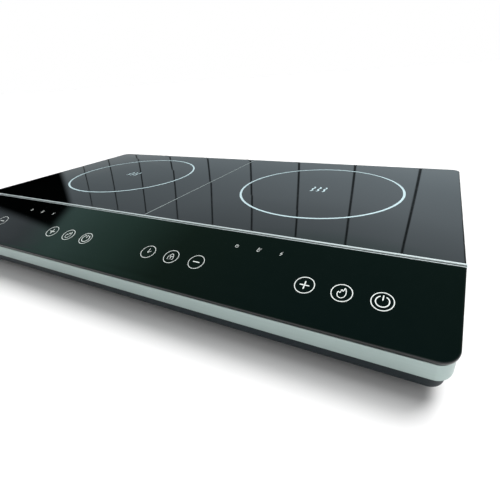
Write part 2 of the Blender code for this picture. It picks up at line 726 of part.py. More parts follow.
def main():
    for item in list(bpy.data.objects):
        bpy.data.objects.remove(item)
    cooking_glass()
    control_glass()
    trim_bead()
    surround_frame()
    glass_seal()
    base_shell()
    feet()
    case_screws()
    cord_gland()
    mains_pieces()
    zones()


main()
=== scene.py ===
"""Looks for the two-zone table-top induction cooktop: glass, print, silver band, vented case and works."""

import json
import math

import bmesh
import bpy
from mathutils import Matrix, Quaternion, Vector


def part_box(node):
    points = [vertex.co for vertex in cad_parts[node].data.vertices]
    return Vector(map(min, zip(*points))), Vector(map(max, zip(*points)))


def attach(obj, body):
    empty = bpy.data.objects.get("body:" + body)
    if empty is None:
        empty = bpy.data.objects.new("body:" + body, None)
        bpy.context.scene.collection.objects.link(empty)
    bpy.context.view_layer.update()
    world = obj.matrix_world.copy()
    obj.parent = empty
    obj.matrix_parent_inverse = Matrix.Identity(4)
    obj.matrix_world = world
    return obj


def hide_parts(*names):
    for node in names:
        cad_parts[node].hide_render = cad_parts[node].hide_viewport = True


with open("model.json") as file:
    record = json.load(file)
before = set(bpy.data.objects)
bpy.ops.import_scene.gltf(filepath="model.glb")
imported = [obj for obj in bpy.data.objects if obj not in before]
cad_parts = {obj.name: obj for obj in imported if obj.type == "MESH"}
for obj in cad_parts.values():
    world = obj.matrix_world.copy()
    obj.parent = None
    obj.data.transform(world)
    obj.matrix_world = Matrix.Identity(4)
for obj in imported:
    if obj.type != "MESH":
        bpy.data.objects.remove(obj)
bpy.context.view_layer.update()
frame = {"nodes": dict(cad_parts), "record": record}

MM = 0.001
GAP = 0.3 * MM
SLOPE = math.radians(20)
GLASS = 4 * MM
FRONT_CORNER, BACK_CORNER = 12 * MM, 10 * MM

COOK_LOW, COOK_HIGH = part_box("cooking_glass")
PANEL_LOW, PANEL_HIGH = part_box("control_glass")
TRIM_LOW, TRIM_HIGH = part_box("trim_bead")
FRAME_LOW, FRAME_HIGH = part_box("surround_frame")
BASE_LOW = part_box("base_shell")[0]
GLAND_LOW, GLAND_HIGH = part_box("cord_gland")

TOP = COOK_HIGH.z
HALF_WIDTH = COOK_HIGH.x
PANEL_TOP = Vector((0, PANEL_HIGH.y - GLASS * math.sin(SLOPE), PANEL_HIGH.z))
PANEL_LENGTH = (PANEL_TOP.y - PANEL_LOW.y) / math.cos(SLOPE)
PANEL_PLACE = Matrix.Translation(PANEL_TOP) @ Matrix.Rotation(SLOPE, 4, "X")
BEHIND_PANEL = -(GLASS + GAP)

SIDES = {"left": -1, "right": 1}
ROWS = ("front", "rear")
ZONE_X = 150.8 * MM
ZONE_Y = (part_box("left_induction_coil")[0].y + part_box("left_induction_coil")[1].y) / 2
PRINT = 0.06 * MM  # how far the print stands above the glass
LIFT = 0.01 * MM  # the gap between the glass and its print


# ---------------------------------------------------------------- materials


def formula(tree, operation, *values):
    """A Math node on sockets or numbers."""
    made = tree.nodes.new("ShaderNodeMath")
    made.operation = operation
    for i, value in enumerate(values):
        if isinstance(value, bpy.types.NodeSocket):
            tree.links.new(value, made.inputs[i])
        else:
            made.inputs[i].default_value = value
    return made.outputs["Value"]


def eased(tree, value, start, end, low=0.0, high=1.0, smooth=True):
    """A step from low at start to high at end."""
    made = tree.nodes.new("ShaderNodeMapRange")
    made.interpolation_type = "SMOOTHSTEP" if smooth else "LINEAR"
    tree.links.new(value, made.inputs["Value"])
    for name, number in (("From Min", start), ("From Max", end), ("To Min", low), ("To Max", high)):
        made.inputs[name].default_value = number
    return made.outputs["Result"]


def texture(tree, vector, kind, inputs, settings=(), output="Fac"):
    """A texture node on a vector, with its numbers and its settings."""
    made = tree.nodes.new("ShaderNodeTex" + kind)
    for name, value in dict(settings).items():
        setattr(made, name, value)
    for name, value in inputs.items():
        made.inputs[name].default_value = value
    tree.links.new(vector, made.inputs["Vector"])
    return made.outputs[output]


def blend(tree, first, second, share):
    """A sum of two sockets, with a share of the first and the rest of the second."""
    return formula(
        tree, "ADD", formula(tree, "MULTIPLY", first, share), formula(tree, "MULTIPLY", second, 1 - share))


def ramp_of(tree, value, stops):
    """A colour ramp on a value, from (position, colour) stops."""
    made = tree.nodes.new("ShaderNodeValToRGB")
    elements = made.color_ramp.elements
    while len(elements) < len(stops):
        elements.new(1)
    for element, (position, colour) in zip(elements, stops):
        element.position = position
        element.color = (*colour, 1)
    tree.links.new(value, made.inputs["Fac"])
    return made.outputs["Color"]


# Patterns: a texture, its numbers, its settings and its output. A wave's pitch is 0.314 m over its scale.
LITZ = ("Wave", {"Scale": 420, "Distortion": 1.2, "Detail": 1}, {"bands_direction": "DIAGONAL"})
WINDING = ("Wave", {"Scale": 160, "Distortion": 0.4}, {"bands_direction": "Z"})
BRAID = ("Wave", {"Scale": 330, "Distortion": 2.5, "Detail": 2}, {"bands_direction": "DIAGONAL"})
CONDUCTORS = ("Wave", {"Scale": 247}, {"bands_direction": "X"})
TRACKS = (
    "Brick", {"Scale": 90, "Mortar Size": 0.045, "Brick Width": 0.9, "Row Height": 0.22}, {"offset": 0.37})
FLAKES = ("Voronoi", {"Scale": 160, "Randomness": 1}, {}, "Distance")
EXTRUSION = ("Wave", {"Scale": 600, "Distortion": 0.6, "Detail": 2}, {"bands_direction": "Z"})
GRAIN = {"Detail": 5, "Roughness": 0.6}
CLOUD = {"Scale": 14, "Detail": 3}
NOISE_LOW, NOISE_HIGH = 0.12, 0.42

FINISHES = {}


def finish(
    name, colour, roughness, metallic=0.0, grain=400, spread=0.08, rough_spread=0.06,
    bump=0.1, depth=0.02, stretch=(1, 1, 1), pattern=None, second=None, share=0.7, **sockets,
):
    """A procedural finish: grain, with or without a pattern, varies colour and gloss and makes a relief."""
    made = bpy.data.materials.new(name)
    made.use_nodes = True
    tree = made.node_tree
    shader = tree.nodes["Principled BSDF"]
    shader.inputs["Metallic"].default_value = metallic
    for socket, value in sockets.items():
        shader.inputs[socket.replace("_", " ")].default_value = value
    place = tree.nodes.new("ShaderNodeTexCoord").outputs["Object"]
    turn = tree.nodes.new("ShaderNodeMapping")
    turn.inputs["Scale"].default_value = stretch
    tree.links.new(place, turn.inputs["Vector"])
    fine = texture(tree, turn.outputs["Vector"], "Noise", {"Scale": grain, **GRAIN})
    cloud = texture(tree, place, "Noise", CLOUD)
    level = eased(tree, formula(tree, "MULTIPLY", fine, cloud), NOISE_LOW, NOISE_HIGH, smooth=False)
    if pattern:
        drawn = texture(tree, place, *pattern)
        level = blend(tree, drawn, level, share)
        fine = blend(tree, drawn, fine, share)
    low = [c * (1 - spread) for c in colour]
    high = second or [min(1, c * (1 + spread)) for c in colour]
    tree.links.new(ramp_of(tree, level, ((0, low), (1, high))), shader.inputs["Base Color"])
    gloss = max(0.0, roughness - rough_spread), min(1.0, roughness + rough_spread)
    tree.links.new(eased(tree, level, 0, 1, *gloss, False), shader.inputs["Roughness"])
    if bump:
        relief = tree.nodes.new("ShaderNodeBump")
        relief.inputs["Strength"].default_value = bump
        relief.inputs["Distance"].default_value = depth * MM
        tree.links.new(fine, relief.inputs["Height"])
        tree.links.new(relief.outputs["Normal"], shader.inputs["Normal"])
    FINISHES[name] = made


# Plain finishes: name, colour, roughness, metallic, grain, spread and bump.
PLAIN = (
    ("glass_print", (0.51, 0.66, 0.70), 0.35, 0.0, 900, 0.05, 0.15),
    ("icon_print", (0.78, 0.82, 0.80), 0.35, 0.0, 900, 0.04, 0.15),
    ("fine_line_print", (0.26, 0.30, 0.30), 0.35, 0.0, 900, 0.06, 0.15),
    ("grey_silicone", (0.022, 0.023, 0.024), 0.7, 0.0, 700, 0.15, 0.3),
    ("foot_rubber", (0.018, 0.018, 0.019), 0.75, 0.0, 900, 0.2, 0.4),
    ("gland_rubber", (0.015, 0.015, 0.016), 0.6, 0.0, 900, 0.2, 0.3),
    ("zinc_steel", (0.56, 0.56, 0.54), 0.32, 1.0, 500, 0.12, 0.2),
    ("cream_nylon", (0.62, 0.60, 0.52), 0.45, 0.0, 800, 0.05, 0.2),
    ("brass", (0.72, 0.50, 0.20), 0.3, 1.0, 600, 0.1, 0.2),
    ("core_coating", (0.03, 0.16, 0.09), 0.4, 0.0, 900, 0.2, 0.3),
    ("black_nylon", (0.020, 0.020, 0.022), 0.45, 0.0, 1100, 0.2, 0.4),
    ("white_silicone", (0.75, 0.75, 0.72), 0.55, 0.0, 700, 0.04, 0.2),
    ("black_epoxy", (0.015, 0.015, 0.016), 0.38, 0.0, 1300, 0.25, 0.4),
    ("capacitor_grey", (0.33, 0.34, 0.36), 0.4, 0.0, 900, 0.08, 0.2),
    ("capacitor_blue", (0.035, 0.11, 0.38), 0.35, 0.0, 900, 0.1, 0.2),
    ("ferrite", (0.050, 0.050, 0.056), 0.45, 0.2, 1500, 0.4, 0.5),
    ("display_white", (0.70, 0.70, 0.68), 0.4, 0.0, 900, 0.04, 0.15),
    ("tin", (0.62, 0.63, 0.64), 0.3, 1.0, 900, 0.1, 0.2),
)
for row in PLAIN:
    finish(*row[:6], bump=row[6])

finish(
    "black_glass", (0.0007, 0.0010, 0.0010), 0.03, grain=90, spread=0.35, rough_spread=0.02, bump=0, IOR=1.5)
finish(
    "bright_aluminium", (0.72, 0.79, 0.80), 0.3, 0.3, grain=300, spread=0.05, bump=0.25, stretch=(0.03, 1, 1))
finish(
    "satin_silver", (0.355, 0.43, 0.415), 0.36, 0.75, grain=700, spread=0.05, bump=0.25,
    stretch=(0.04, 0.04, 1))
finish(
    "black_case_plastic", (0.013, 0.020, 0.025), 0.5, grain=1400, spread=0.25, rough_spread=0.08, bump=0.6,
    depth=0.05, Specular_IOR_Level=0.25)
finish(
    "copper_winding", (0.42, 0.13, 0.04), 0.28, 1.0, spread=0.1, bump=0.3, pattern=WINDING,
    second=(0.70, 0.30, 0.12), Coat_Weight=0.6)
finish(
    "copper_litz", (0.36, 0.11, 0.035), 0.36, 1.0, grain=900, spread=0.1, bump=0.9, depth=0.12,
    pattern=LITZ, second=(0.74, 0.34, 0.14), Coat_Weight=0.3)
finish(
    "mica", (0.44, 0.38, 0.25), 0.4, grain=250, spread=0.1, bump=0.3, pattern=FLAKES,
    second=(0.66, 0.60, 0.46), Sheen_Weight=0.1)
finish(
    "green_board", (0.010, 0.085, 0.032), 0.3, grain=600, spread=0.1, bump=0.5, depth=0.05, pattern=TRACKS,
    second=(0.035, 0.20, 0.08), share=0.8)
finish(
    "mill_aluminium", (0.68, 0.69, 0.70), 0.33, 1.0, grain=700, spread=0.04, bump=0.35, pattern=EXTRUSION,
    second=(0.80, 0.81, 0.82))
finish(
    "ribbon_grey", (0.30, 0.30, 0.31), 0.5, grain=500, spread=0.1, bump=0.8, depth=0.2, pattern=CONDUCTORS,
    second=(0.56, 0.56, 0.57))
finish(
    "glass_fibre_sleeve", (0.52, 0.50, 0.44), 0.8, grain=900, spread=0.1, bump=1.0, depth=0.25, pattern=BRAID,
    second=(0.80, 0.78, 0.72), Sheen_Weight=0.2)


# ---------------------------------------------------------------- mesh tools

MERGE, SAME = 0.001 * MM, 0.01 * MM  # closer points are merged, closer levels are one
BEVEL_STEPS, BEVEL_ANGLE = 2, math.radians(35)
ROUND_WIRE = 60  # the angle in degrees up to which a coarse round wire is shaded smooth


def at(x, y, z=0.0):
    """The matrix of a move."""
    return Matrix.Translation((x, y, z))


def at_mm(x, y, z=0.0):
    """The matrix of a move in millimetres."""
    return at(x * MM, y * MM, z * MM)


def spun(degrees, axis="Z"):
    """The matrix of a turn."""
    return Matrix.Rotation(math.radians(degrees), 4, axis)


def in_mm(*points):
    """Points given in millimetres."""
    return [tuple(value * MM for value in point) for point in points]


def box_of(name):
    """A node's low and high corners and its middle."""
    low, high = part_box(name)
    return low, high, (low + high) / 2


def placed(name, data):
    """A new object in the scene."""
    made = bpy.data.objects.new(name, data)
    bpy.context.scene.collection.objects.link(made)
    return made


def shown(holder):
    """What an object shows with its modifiers applied. Gives a new mesh."""
    bpy.context.view_layer.update()
    graph = bpy.context.evaluated_depsgraph_get()
    return bpy.data.meshes.new_from_object(holder.evaluated_get(graph))


def settled(made):
    """Puts an object's modifiers into its mesh."""
    mesh = shown(made)
    made.modifiers.clear()
    made.data = mesh
    mesh.name = made.name
    return mesh


def to_mesh(bm):
    """A bmesh as a mesh, with its doubles merged and its faces turned outwards."""
    bmesh.ops.remove_doubles(bm, verts=bm.verts, dist=MERGE)
    bmesh.ops.recalc_face_normals(bm, faces=bm.faces)
    mesh = bpy.data.meshes.new("shape")
    bm.to_mesh(mesh)
    bm.free()
    return mesh


def piece(name, source, look, body="case", stands_for=(), sharp=32, edge=0.0):
    """Makes a mesh a named piece with its finish, which rides on a body and may stand for CAD nodes."""
    mesh = to_mesh(source) if isinstance(source, bmesh.types.BMesh) else source
    mesh.name = name
    mesh.materials.clear()
    mesh.materials.append(FINISHES[look])
    made = placed(name, mesh)
    mesh.shade_smooth()
    if edge:
        bevel = made.modifiers.new("edges", "BEVEL")
        bevel.width = edge
        bevel.segments = BEVEL_STEPS
        bevel.limit_method = "ANGLE"
        bevel.angle_limit = BEVEL_ANGLE
        bevel.harden_normals = False
        mesh = settled(made)
        mesh.shade_smooth()
    mesh.set_sharp_from_angle(angle=math.radians(sharp))
    if edge:
        level = made.modifiers.new("flats", "WEIGHTED_NORMAL")
        level.keep_sharp = True
        settled(made)
    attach(made, body)
    if stands_for:
        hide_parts(*stands_for)


def box_bmesh(low, high):
    """A box between two corners."""
    bm = bmesh.new()
    low, high = Vector(low), Vector(high)
    place = Matrix.Translation((low + high) / 2) @ Matrix.Diagonal((*(high - low), 1))
    bmesh.ops.create_cube(bm, size=1, matrix=place)
    return bm


def standing(bm):
    """The edges that run from a lower to a higher level without much lean."""
    for edge in bm.edges:
        a, b = edge.verts
        if abs(a.co.z - b.co.z) > 4 * max(abs(a.co.x - b.co.x), abs(a.co.y - b.co.y)):
            yield edge


def on_rim(edge, level):
    """Whether an edge lies flat at a level."""
    return all(abs(v.co.z - level) < SAME for v in edge.verts)


def rounded(bm, geometry, radius, segments, affect="EDGES"):
    """Rounds edges, or the corners of an outline, with an arc."""
    bmesh.ops.bevel(
        bm, geom=list(geometry), offset=radius, offset_type="OFFSET", affect=affect, segments=segments,
        profile=0.5, material=-1, clamp_overlap=True)


def rounded_box(low, high, front_radius, back_radius, segments=12):
    """A box whose upright edges are rounded, with one radius at the front and one at the back."""
    bm = box_bmesh(low, high)
    middle = (low[1] + high[1]) / 2
    for radius, front in ((front_radius, True), (back_radius, False)):
        if radius > 0:
            rounded(bm, [e for e in standing(bm) if (e.verts[0].co.y < middle) == front], radius, segments)
    return bm


def soft_box(low, high, edge, segments=2):
    """A box with all its edges rounded. Gives a mesh."""
    bm = box_bmesh(low, high)
    rounded(bm, bm.edges[:], edge, segments)
    return to_mesh(bm)


def block(half_x, half_y, low, high, edge, segments=2):
    """A soft box centred on Z, between two levels. Gives a mesh."""
    return soft_box((-half_x, -half_y, low), (half_x, half_y, high), edge, segments)


def cut(body, tool, operation="DIFFERENCE"):
    """One Boolean step on meshes or bmeshes: DIFFERENCE, UNION or INTERSECT. Gives a mesh."""
    meshes = [to_mesh(item) if isinstance(item, bmesh.types.BMesh) else item for item in (body, tool)]
    holders = [placed("holder", mesh) for mesh in meshes]
    step = holders[0].modifiers.new("step", "BOOLEAN")
    step.operation = operation
    step.object = holders[1]
    made = shown(holders[0])
    for holder in holders:
        bpy.data.objects.remove(holder)
    return made


def moved(source, place):
    """A copy of a mesh or bmesh, put in place by a matrix. Gives a mesh."""
    mesh = to_mesh(source.copy()) if isinstance(source, bmesh.types.BMesh) else source.copy()
    mesh.transform(place)
    return mesh


def put(bm, place):
    """A bmesh itself, put in place by a matrix. Gives a mesh."""
    bmesh.ops.transform(bm, matrix=place, verts=bm.verts)
    return to_mesh(bm)


def gathered(sources):
    """Several meshes as one."""
    bm = bmesh.new()
    for source in sources:
        bm.from_mesh(source)
    mesh = bpy.data.meshes.new("group")
    bm.to_mesh(mesh)
    bm.free()
    return mesh


def copies(shape, places):
    """One mesh repeated at several places."""
    return gathered([moved(shape, place) for place in places])


def spin(bm, angle, steps, merge=True):
    """Spins an outline round Z."""
    bmesh.ops.spin(
        bm, geom=bm.verts[:] + bm.edges[:], axis=(0, 0, 1), cent=(0, 0, 0), angle=angle, steps=steps,
        use_merge=merge)


def turned(profile, steps=48, round_off=0.0, round_steps=3):
    """A side outline of (radius, z) points spun round Z, with its corners rounded first."""
    bm = bmesh.new()
    verts = [bm.verts.new((r, 0, z)) for r, z in profile]
    closed = (Vector(profile[0]) - Vector(profile[-1])).length < 1e-7
    if closed:
        bm.verts.remove(verts.pop())
    pairs = list(zip(verts, verts[1:]))
    if closed:
        pairs.append((verts[-1], verts[0]))
    for pair in pairs:
        bm.edges.new(pair)
    if round_off:
        corners = [v for v in verts if v.co.x > MERGE and len(v.link_edges) == 2]
        rounded(bm, corners, round_off, round_steps, "VERTICES")
    spin(bm, math.tau, steps)
    return bm


def rod(radius, low, high, steps, soft=0.0):
    """An upright cylinder between two levels. Gives a mesh."""
    return to_mesh(turned([(0, low), (radius, low), (radius, high), (0, high)], steps, soft))


def tube(inner, outer, low, high, steps, soft=0.0):
    """An upright ring between two levels. Gives a mesh."""
    profile = [(inner, low), (outer, low), (outer, high), (inner, high), (inner, low)]
    return to_mesh(turned(profile, steps, soft))


def swept(bm, path, edges=None):
    """Extrudes a bmesh's faces, or the edges given, along a vector."""
    if edges:
        made = bmesh.ops.extrude_edge_only(bm, edges=edges)
    else:
        made = bmesh.ops.extrude_face_region(bm, geom=bm.faces[:], use_keep_orig=True)
    bmesh.ops.translate(bm, verts=[g for g in made["geom"] if isinstance(g, bmesh.types.BMVert)], vec=path)


def round_line(radius, kind, points, closed):
    """A curve of a kind with a round section, ready for its points. Gives the curve and its line."""
    curve = bpy.data.curves.new("line", "CURVE")
    curve.dimensions = "3D"
    curve.bevel_depth = radius
    curve.bevel_resolution = 1
    curve.use_fill_caps = True
    line = curve.splines.new(kind)
    (line.bezier_points if kind == "BEZIER" else line.points).add(len(points) - 1)
    line.use_cyclic_u = closed
    return curve, line


def line_mesh(curve):
    """A curve as a mesh."""
    holder = placed("line", curve)
    mesh = shown(holder)
    bpy.data.objects.remove(holder)
    return mesh


def wire(points, radius, closed=False):
    """A round wire through the points. Gives a mesh."""
    curve, line = round_line(radius, "POLY", points, closed)
    for knot, point in zip(line.points, points):
        knot.co = (*point, 1)
    return line_mesh(curve)


# ---------------------------------------------------------------- glasses and trim

POLISH, LEVEL_FACE = 1.5 * MM, 0.9


def polished_plate(low, high, front_radius, back_radius, plain_side):
    """A glass plate with round corners and polished edges, but for the edge at y = plain_side."""
    bm = rounded_box(low, high, front_radius, back_radius, 16)
    rims = [
        e
        for e in bm.edges
        if (on_rim(e, low[2]) or on_rim(e, high[2]))
        and not all(abs(v.co.y - plain_side) < SAME for v in e.verts)
        and len({f for f in e.link_faces if abs(f.normal.z) > LEVEL_FACE}) == 1
    ]
    rounded(bm, rims, POLISH, 5)
    return bm


def glasses():
    """The flat cooking glass and the sloping control glass."""
    bm = polished_plate(tuple(COOK_LOW), tuple(COOK_HIGH), 0, BACK_CORNER, COOK_LOW.y)
    piece("cooking_glass_plate", bm, "black_glass", stands_for=["cooking_glass"])
    bm = polished_plate((-HALF_WIDTH, -PANEL_LENGTH, -GLASS), (HALF_WIDTH, 0, 0), FRONT_CORNER, 0, 0)
    piece("control_glass_plate", put(bm, PANEL_PLACE), "black_glass", stands_for=["control_glass"])


def trim():
    """A raised round bead and a lower lip with a groove between them, and the dark seal in the groove."""
    rear, front, bottom, crown = TRIM_HIGH.y, PANEL_TOP.y + GAP, TRIM_LOW.z, TRIM_HIGH.z
    bead, groove, lip = 2.4 * MM, 1.7 * MM, TOP
    near, far, floor = rear - bead, rear - bead - groove, lip - 2 * MM
    slant = (lip - bottom) * math.tan(SLOPE)
    outline = (
        (rear, bottom), (rear, crown), (near, crown), (near, floor), (far, floor), (far, lip), (front, lip),
        (front + slant, bottom))
    bm = bmesh.new()
    verts = [bm.verts.new((-HALF_WIDTH, y, z)) for y, z in outline]
    bm.faces.new(verts)
    rounded(bm, verts[1:3], 0.8 * MM, 5, "VERTICES")
    sharp = [v for v in bm.verts if abs(v.co.z - lip) < MERGE and v.co.y < near]
    rounded(bm, sharp, 0.2 * MM, 3, "VERTICES")
    swept(bm, (2 * HALF_WIDTH, 0, 0))
    piece("trim_strip", bm, "bright_aluminium", stands_for=["trim_bead"])
    slack, top = 0.02 * MM, lip - 0.1 * MM
    end = HALF_WIDTH - slack
    seal = box_bmesh((-end, far + slack, floor + slack), (end, near - slack, top))
    ridge = [e for e in seal.edges if on_rim(e, top) and abs(e.verts[0].co.x - e.verts[1].co.x) > MM]
    rounded(seal, ridge, 0.3 * MM, 4)
    piece("trim_groove_seal", seal, "grey_silicone")


# ---------------------------------------------------------------- surround frame

BEND_Y = PANEL_TOP.y + (COOK_LOW.z - PANEL_TOP.z + GLASS / math.cos(SLOPE)) / math.tan(SLOPE)
BAND_HEIGHT, BAND_WALL = 12.4 * MM, 2 * MM
LEDGE_TOP, LEDGE_BOTTOM = 1.4 * MM, 3.5 * MM
LEDGE_WIDTH, REAR_LEDGE_WIDTH = 12 * MM, 22 * MM
BAR_FRONT, BAR_BACK, WINDOW_CORNER = -108 * MM, -93 * MM, 6 * MM
FRAME_INSET = HALF_WIDTH - FRAME_HIGH.x
TALL = 80 * MM
FAR = 0.01  # how far a cutter reaches past what it cuts


def underside(y):
    """Height of the glasses' underside at y."""
    sloped = PANEL_TOP.z + (y - PANEL_TOP.y) * math.tan(SLOPE) - GLASS / math.cos(SLOPE)
    return min(COOK_LOW.z, sloped)


def bent_slab(top, bottom, margin=20 * MM):
    """A wide slab that follows the glasses, from top to bottom below their underside."""
    bm = bmesh.new()
    stations = (COOK_HIGH.y + margin, BEND_Y, PANEL_LOW.y - margin)
    line = [bm.verts.new((-HALF_WIDTH - margin, y, underside(y) - top)) for y in stations]
    swept(bm, (2 * (HALF_WIDTH + margin), 0, 0), [bm.edges.new(pair) for pair in zip(line, line[1:])])
    swept(bm, (0, 0, top - bottom))
    return bm


def frame_block(inset):
    """An upright block with the frame's plan outline, drawn in by inset."""
    return rounded_box(
        (FRAME_LOW.x + inset, FRAME_LOW.y + inset, 0.0),
        (FRAME_HIGH.x - inset, FRAME_HIGH.y - inset, TALL),
        FRONT_CORNER - FRAME_INSET - inset,
        BACK_CORNER - FRAME_INSET - inset,
    )


def frame_windows():
    """The two openings of the frame's ledge."""
    half = FRAME_HIGH.x - LEDGE_WIDTH
    spans = ((BAR_BACK, FRAME_HIGH.y - REAR_LEDGE_WIDTH), (FRAME_LOW.y + LEDGE_WIDTH, BAR_FRONT))
    for front, back in spans:
        yield to_mesh(
            rounded_box((-half, front, -FAR), (half, back, TALL + FAR), WINDOW_CORNER, WINDOW_CORNER, 6))


def corner_spots(kind):
    """The name and the place of each of the four nodes of a kind."""
    for row in ROWS:
        for side in SIDES:
            low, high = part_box(f"{row}_{side}_{kind}")
            yield f"{row}_{side}", at((low.x + high.x) / 2, (low.y + high.y) / 2)


SCREW_PLACES = dict(corner_spots("case_screw"))
FOOT_PLACES = dict(corner_spots("foot"))


def surround():
    """The silver band with its ledge, cross bar and screw bosses."""
    mesh = cut(frame_block(0), bent_slab(GAP, BAND_HEIGHT), "INTERSECT")
    for top, bottom in ((LEDGE_BOTTOM, BAND_HEIGHT + FAR), (-FAR, LEDGE_TOP)):
        mesh = cut(mesh, cut(frame_block(BAND_WALL), bent_slab(top, bottom), "INTERSECT"))
    mesh = cut(mesh, gathered(frame_windows()))
    boss, pilot = rod(4.5 * MM, FRAME_LOW.z, 54.8 * MM, 24), rod(1.6 * MM, 0, 30 * MM, 12)
    mesh = cut(mesh, copies(boss, SCREW_PLACES.values()), "UNION")
    mesh = cut(mesh, copies(pilot, SCREW_PLACES.values()))
    piece("surround_band", mesh, "satin_silver", stands_for=["surround_frame"], edge=0.35 * MM)


# ---------------------------------------------------------------- base, feet, screws and gland

FLOOR, CASE_WALL = BASE_LOW.z, 2.4 * MM
FLOOR_TOP = FLOOR + CASE_WALL
BASE_INSET, BASE_DRAFT, BASE_ROUND, BASE_CORNER = 4.7 * MM, MM, 4.3 * MM, 9.5 * MM
FAN_SPOTS = [
    Vector(((low.x + high.x) / 2, (low.y + high.y) / 2, 0))
    for low, high in (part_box("left_fan_frame"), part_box("right_fan_frame"))
]
SLOT_WIDTH, SLOT_DEPTH = 3 * MM, 20 * MM
POST_CIRCLE = 98 * MM
BELOW_ALL = 0.2
GLAND_Z = (GLAND_LOW.z + GLAND_HIGH.z) / 2
GLAND_BARREL = 6.6 * MM
REAR_WALL_Y = COOK_HIGH.y - 6 * MM


def tub(shrink):
    """The case's outer form, drawn in by shrink: drafted sides, round corners and a round lower edge."""
    low = Vector((-HALF_WIDTH + BASE_INSET + shrink, PANEL_LOW.y + BASE_INSET + shrink, FLOOR + shrink))
    high = Vector((HALF_WIDTH - BASE_INSET - shrink, COOK_HIGH.y - BASE_INSET - shrink, 60 * MM + shrink))
    bm = box_bmesh(low, high)
    for v in bm.verts:
        if v.co.z > 30 * MM:
            v.co.x += math.copysign(BASE_DRAFT, v.co.x)
            v.co.y += math.copysign(BASE_DRAFT, v.co.y)
    rounded(bm, standing(bm), BASE_CORNER - 0.5 * shrink, 12)
    rounded(bm, [e for e in bm.edges if on_rim(e, low.z)], BASE_ROUND - 0.5 * shrink, 8)
    return bm


def slot_cutter(length):
    """A long slot with round ends, centred on the origin and running along Y."""
    half = Vector((SLOT_WIDTH / 2, length / 2, SLOT_DEPTH / 2))
    bm = box_bmesh(-half, half)
    rounded(bm, standing(bm), SLOT_WIDTH * 0.49, 4)
    return to_mesh(bm)


def intake_cutters():
    """Parallel slots that fill a circle under each fan."""
    pitch, reach = 6.6 * MM, 36 * MM
    for spot in FAN_SPOTS:
        for row in range(-5, 6):
            across = row * pitch
            slot = slot_cutter(2 * math.sqrt(reach**2 - across**2))
            yield moved(slot, Matrix.Translation(spot + Vector((across, 0, FLOOR))))


def exhaust_cutters():
    """Upright slots behind each zone and along both sides."""
    pitch, level, side_start = 8 * MM, 29 * MM, 30 * MM
    standing_slot = slot_cutter(16 * MM)
    rear_turn = spun(90, "X")
    for spot in FAN_SPOTS:
        for i in range(-7, 8):
            yield moved(standing_slot, at(spot.x + i * pitch, REAR_WALL_Y, level) @ rear_turn)
    for side in (-1, 1):
        for i in range(11):
            place = at(side * (HALF_WIDTH - 6 * MM), side_start + i * pitch, level)
            yield moved(standing_slot, place @ (spun(90) @ rear_turn))


def floor_cutters():
    """Screw wells, foot recesses, foot pin holes and the recess for a rating plate."""
    well, shank = rod(4.2 * MM, 0, FLOOR + 0.6 * MM, 32), rod(1.9 * MM, 0, 20 * MM, 16)
    recess, pin = tube(10.4 * MM, 11.2 * MM, 0, FLOOR + 0.5 * MM, 40), rod(3.3 * MM, 0, 20 * MM, 20)
    for places, tools in ((SCREW_PLACES, (well, shank)), (FOOT_PLACES, (recess, pin))):
        for place in places.values():
            for tool in tools:
                yield moved(tool, place)
    half, front, back, corner = 38 * MM, -60 * MM, -16 * MM, 2 * MM
    yield to_mesh(rounded_box((-half, front, 0), (half, back, FLOOR + 0.4 * MM), corner, corner, 4))


def post(radius, pin, carried):
    """A moulded post with a pin on top, for a node that rests on it."""
    low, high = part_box(carried)
    foot, seat, tip = FLOOR_TOP - MM, low.z - GAP, high.z + MM
    return to_mesh(turned([(0, foot), (radius, foot), (radius, seat), (pin, seat), (pin, tip), (0, tip)], 20))


def post_meshes():
    """Moulded posts that carry the coil formers and the power boards."""
    for side, sign in SIDES.items():
        zone_x = sign * 150 * MM
        coil_post = post(4 * MM, 1.5 * MM, f"{side}_coil_former")
        board_post = post(3.5 * MM, 1.3 * MM, f"{side}_power_board")
        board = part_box(f"{side}_power_board")
        for degrees in (90, 210, 330):
            angle = math.radians(degrees)
            spot = at(zone_x + POST_CIRCLE * math.cos(angle), ZONE_Y + POST_CIRCLE * math.sin(angle))
            yield moved(coil_post, spot)
        for x in (-68 * MM, 68 * MM):
            for y in (board[0].y + 7 * MM, board[1].y - 7 * MM):
                yield moved(board_post, at(zone_x + x, y))


def case():
    """The black lower case with its vents, wells, posts and cord hole."""
    mesh = cut(tub(0), bent_slab(LEDGE_BOTTOM + GAP, BELOW_ALL), "INTERSECT")
    mesh = cut(mesh, tub(CASE_WALL))
    mesh = cut(mesh, gathered(post_meshes()), "UNION")
    cord_hole = rod(GLAND_BARREL + GAP, -SLOT_DEPTH, SLOT_DEPTH, 32)
    cord_hole = moved(cord_hole, at(0, REAR_WALL_Y, GLAND_Z) @ spun(90, "X"))
    mesh = cut(mesh, gathered([cord_hole, *intake_cutters(), *exhaust_cutters()]))
    mesh = cut(mesh, gathered(floor_cutters()))
    piece("vented_case", mesh, "black_case_plastic", stands_for=["base_shell"], edge=0.25 * MM)


def feet():
    """Rubber feet with a soft edge, a dished sole and a barbed pin."""
    body_top, pin, inside, tip = FLOOR - GAP, 3 * MM, FLOOR_TOP + GAP, FLOOR_TOP + 2 * MM
    profile = [
        *in_mm((0, 0.4), (6, 0.4), (6.4, 0), (9.2, 0), (10, 0.8)),
        (9 * MM, body_top), (pin, body_top), (pin, inside), (pin + 0.8 * MM, inside), (pin - MM, tip),
        (0, tip),
    ]
    shape = to_mesh(turned(profile, 48, 0.25 * MM))
    for name, place in FOOT_PLACES.items():
        piece(f"{name}_rubber_foot", moved(shape, place), "foot_rubber", stands_for=[f"{name}_foot"])


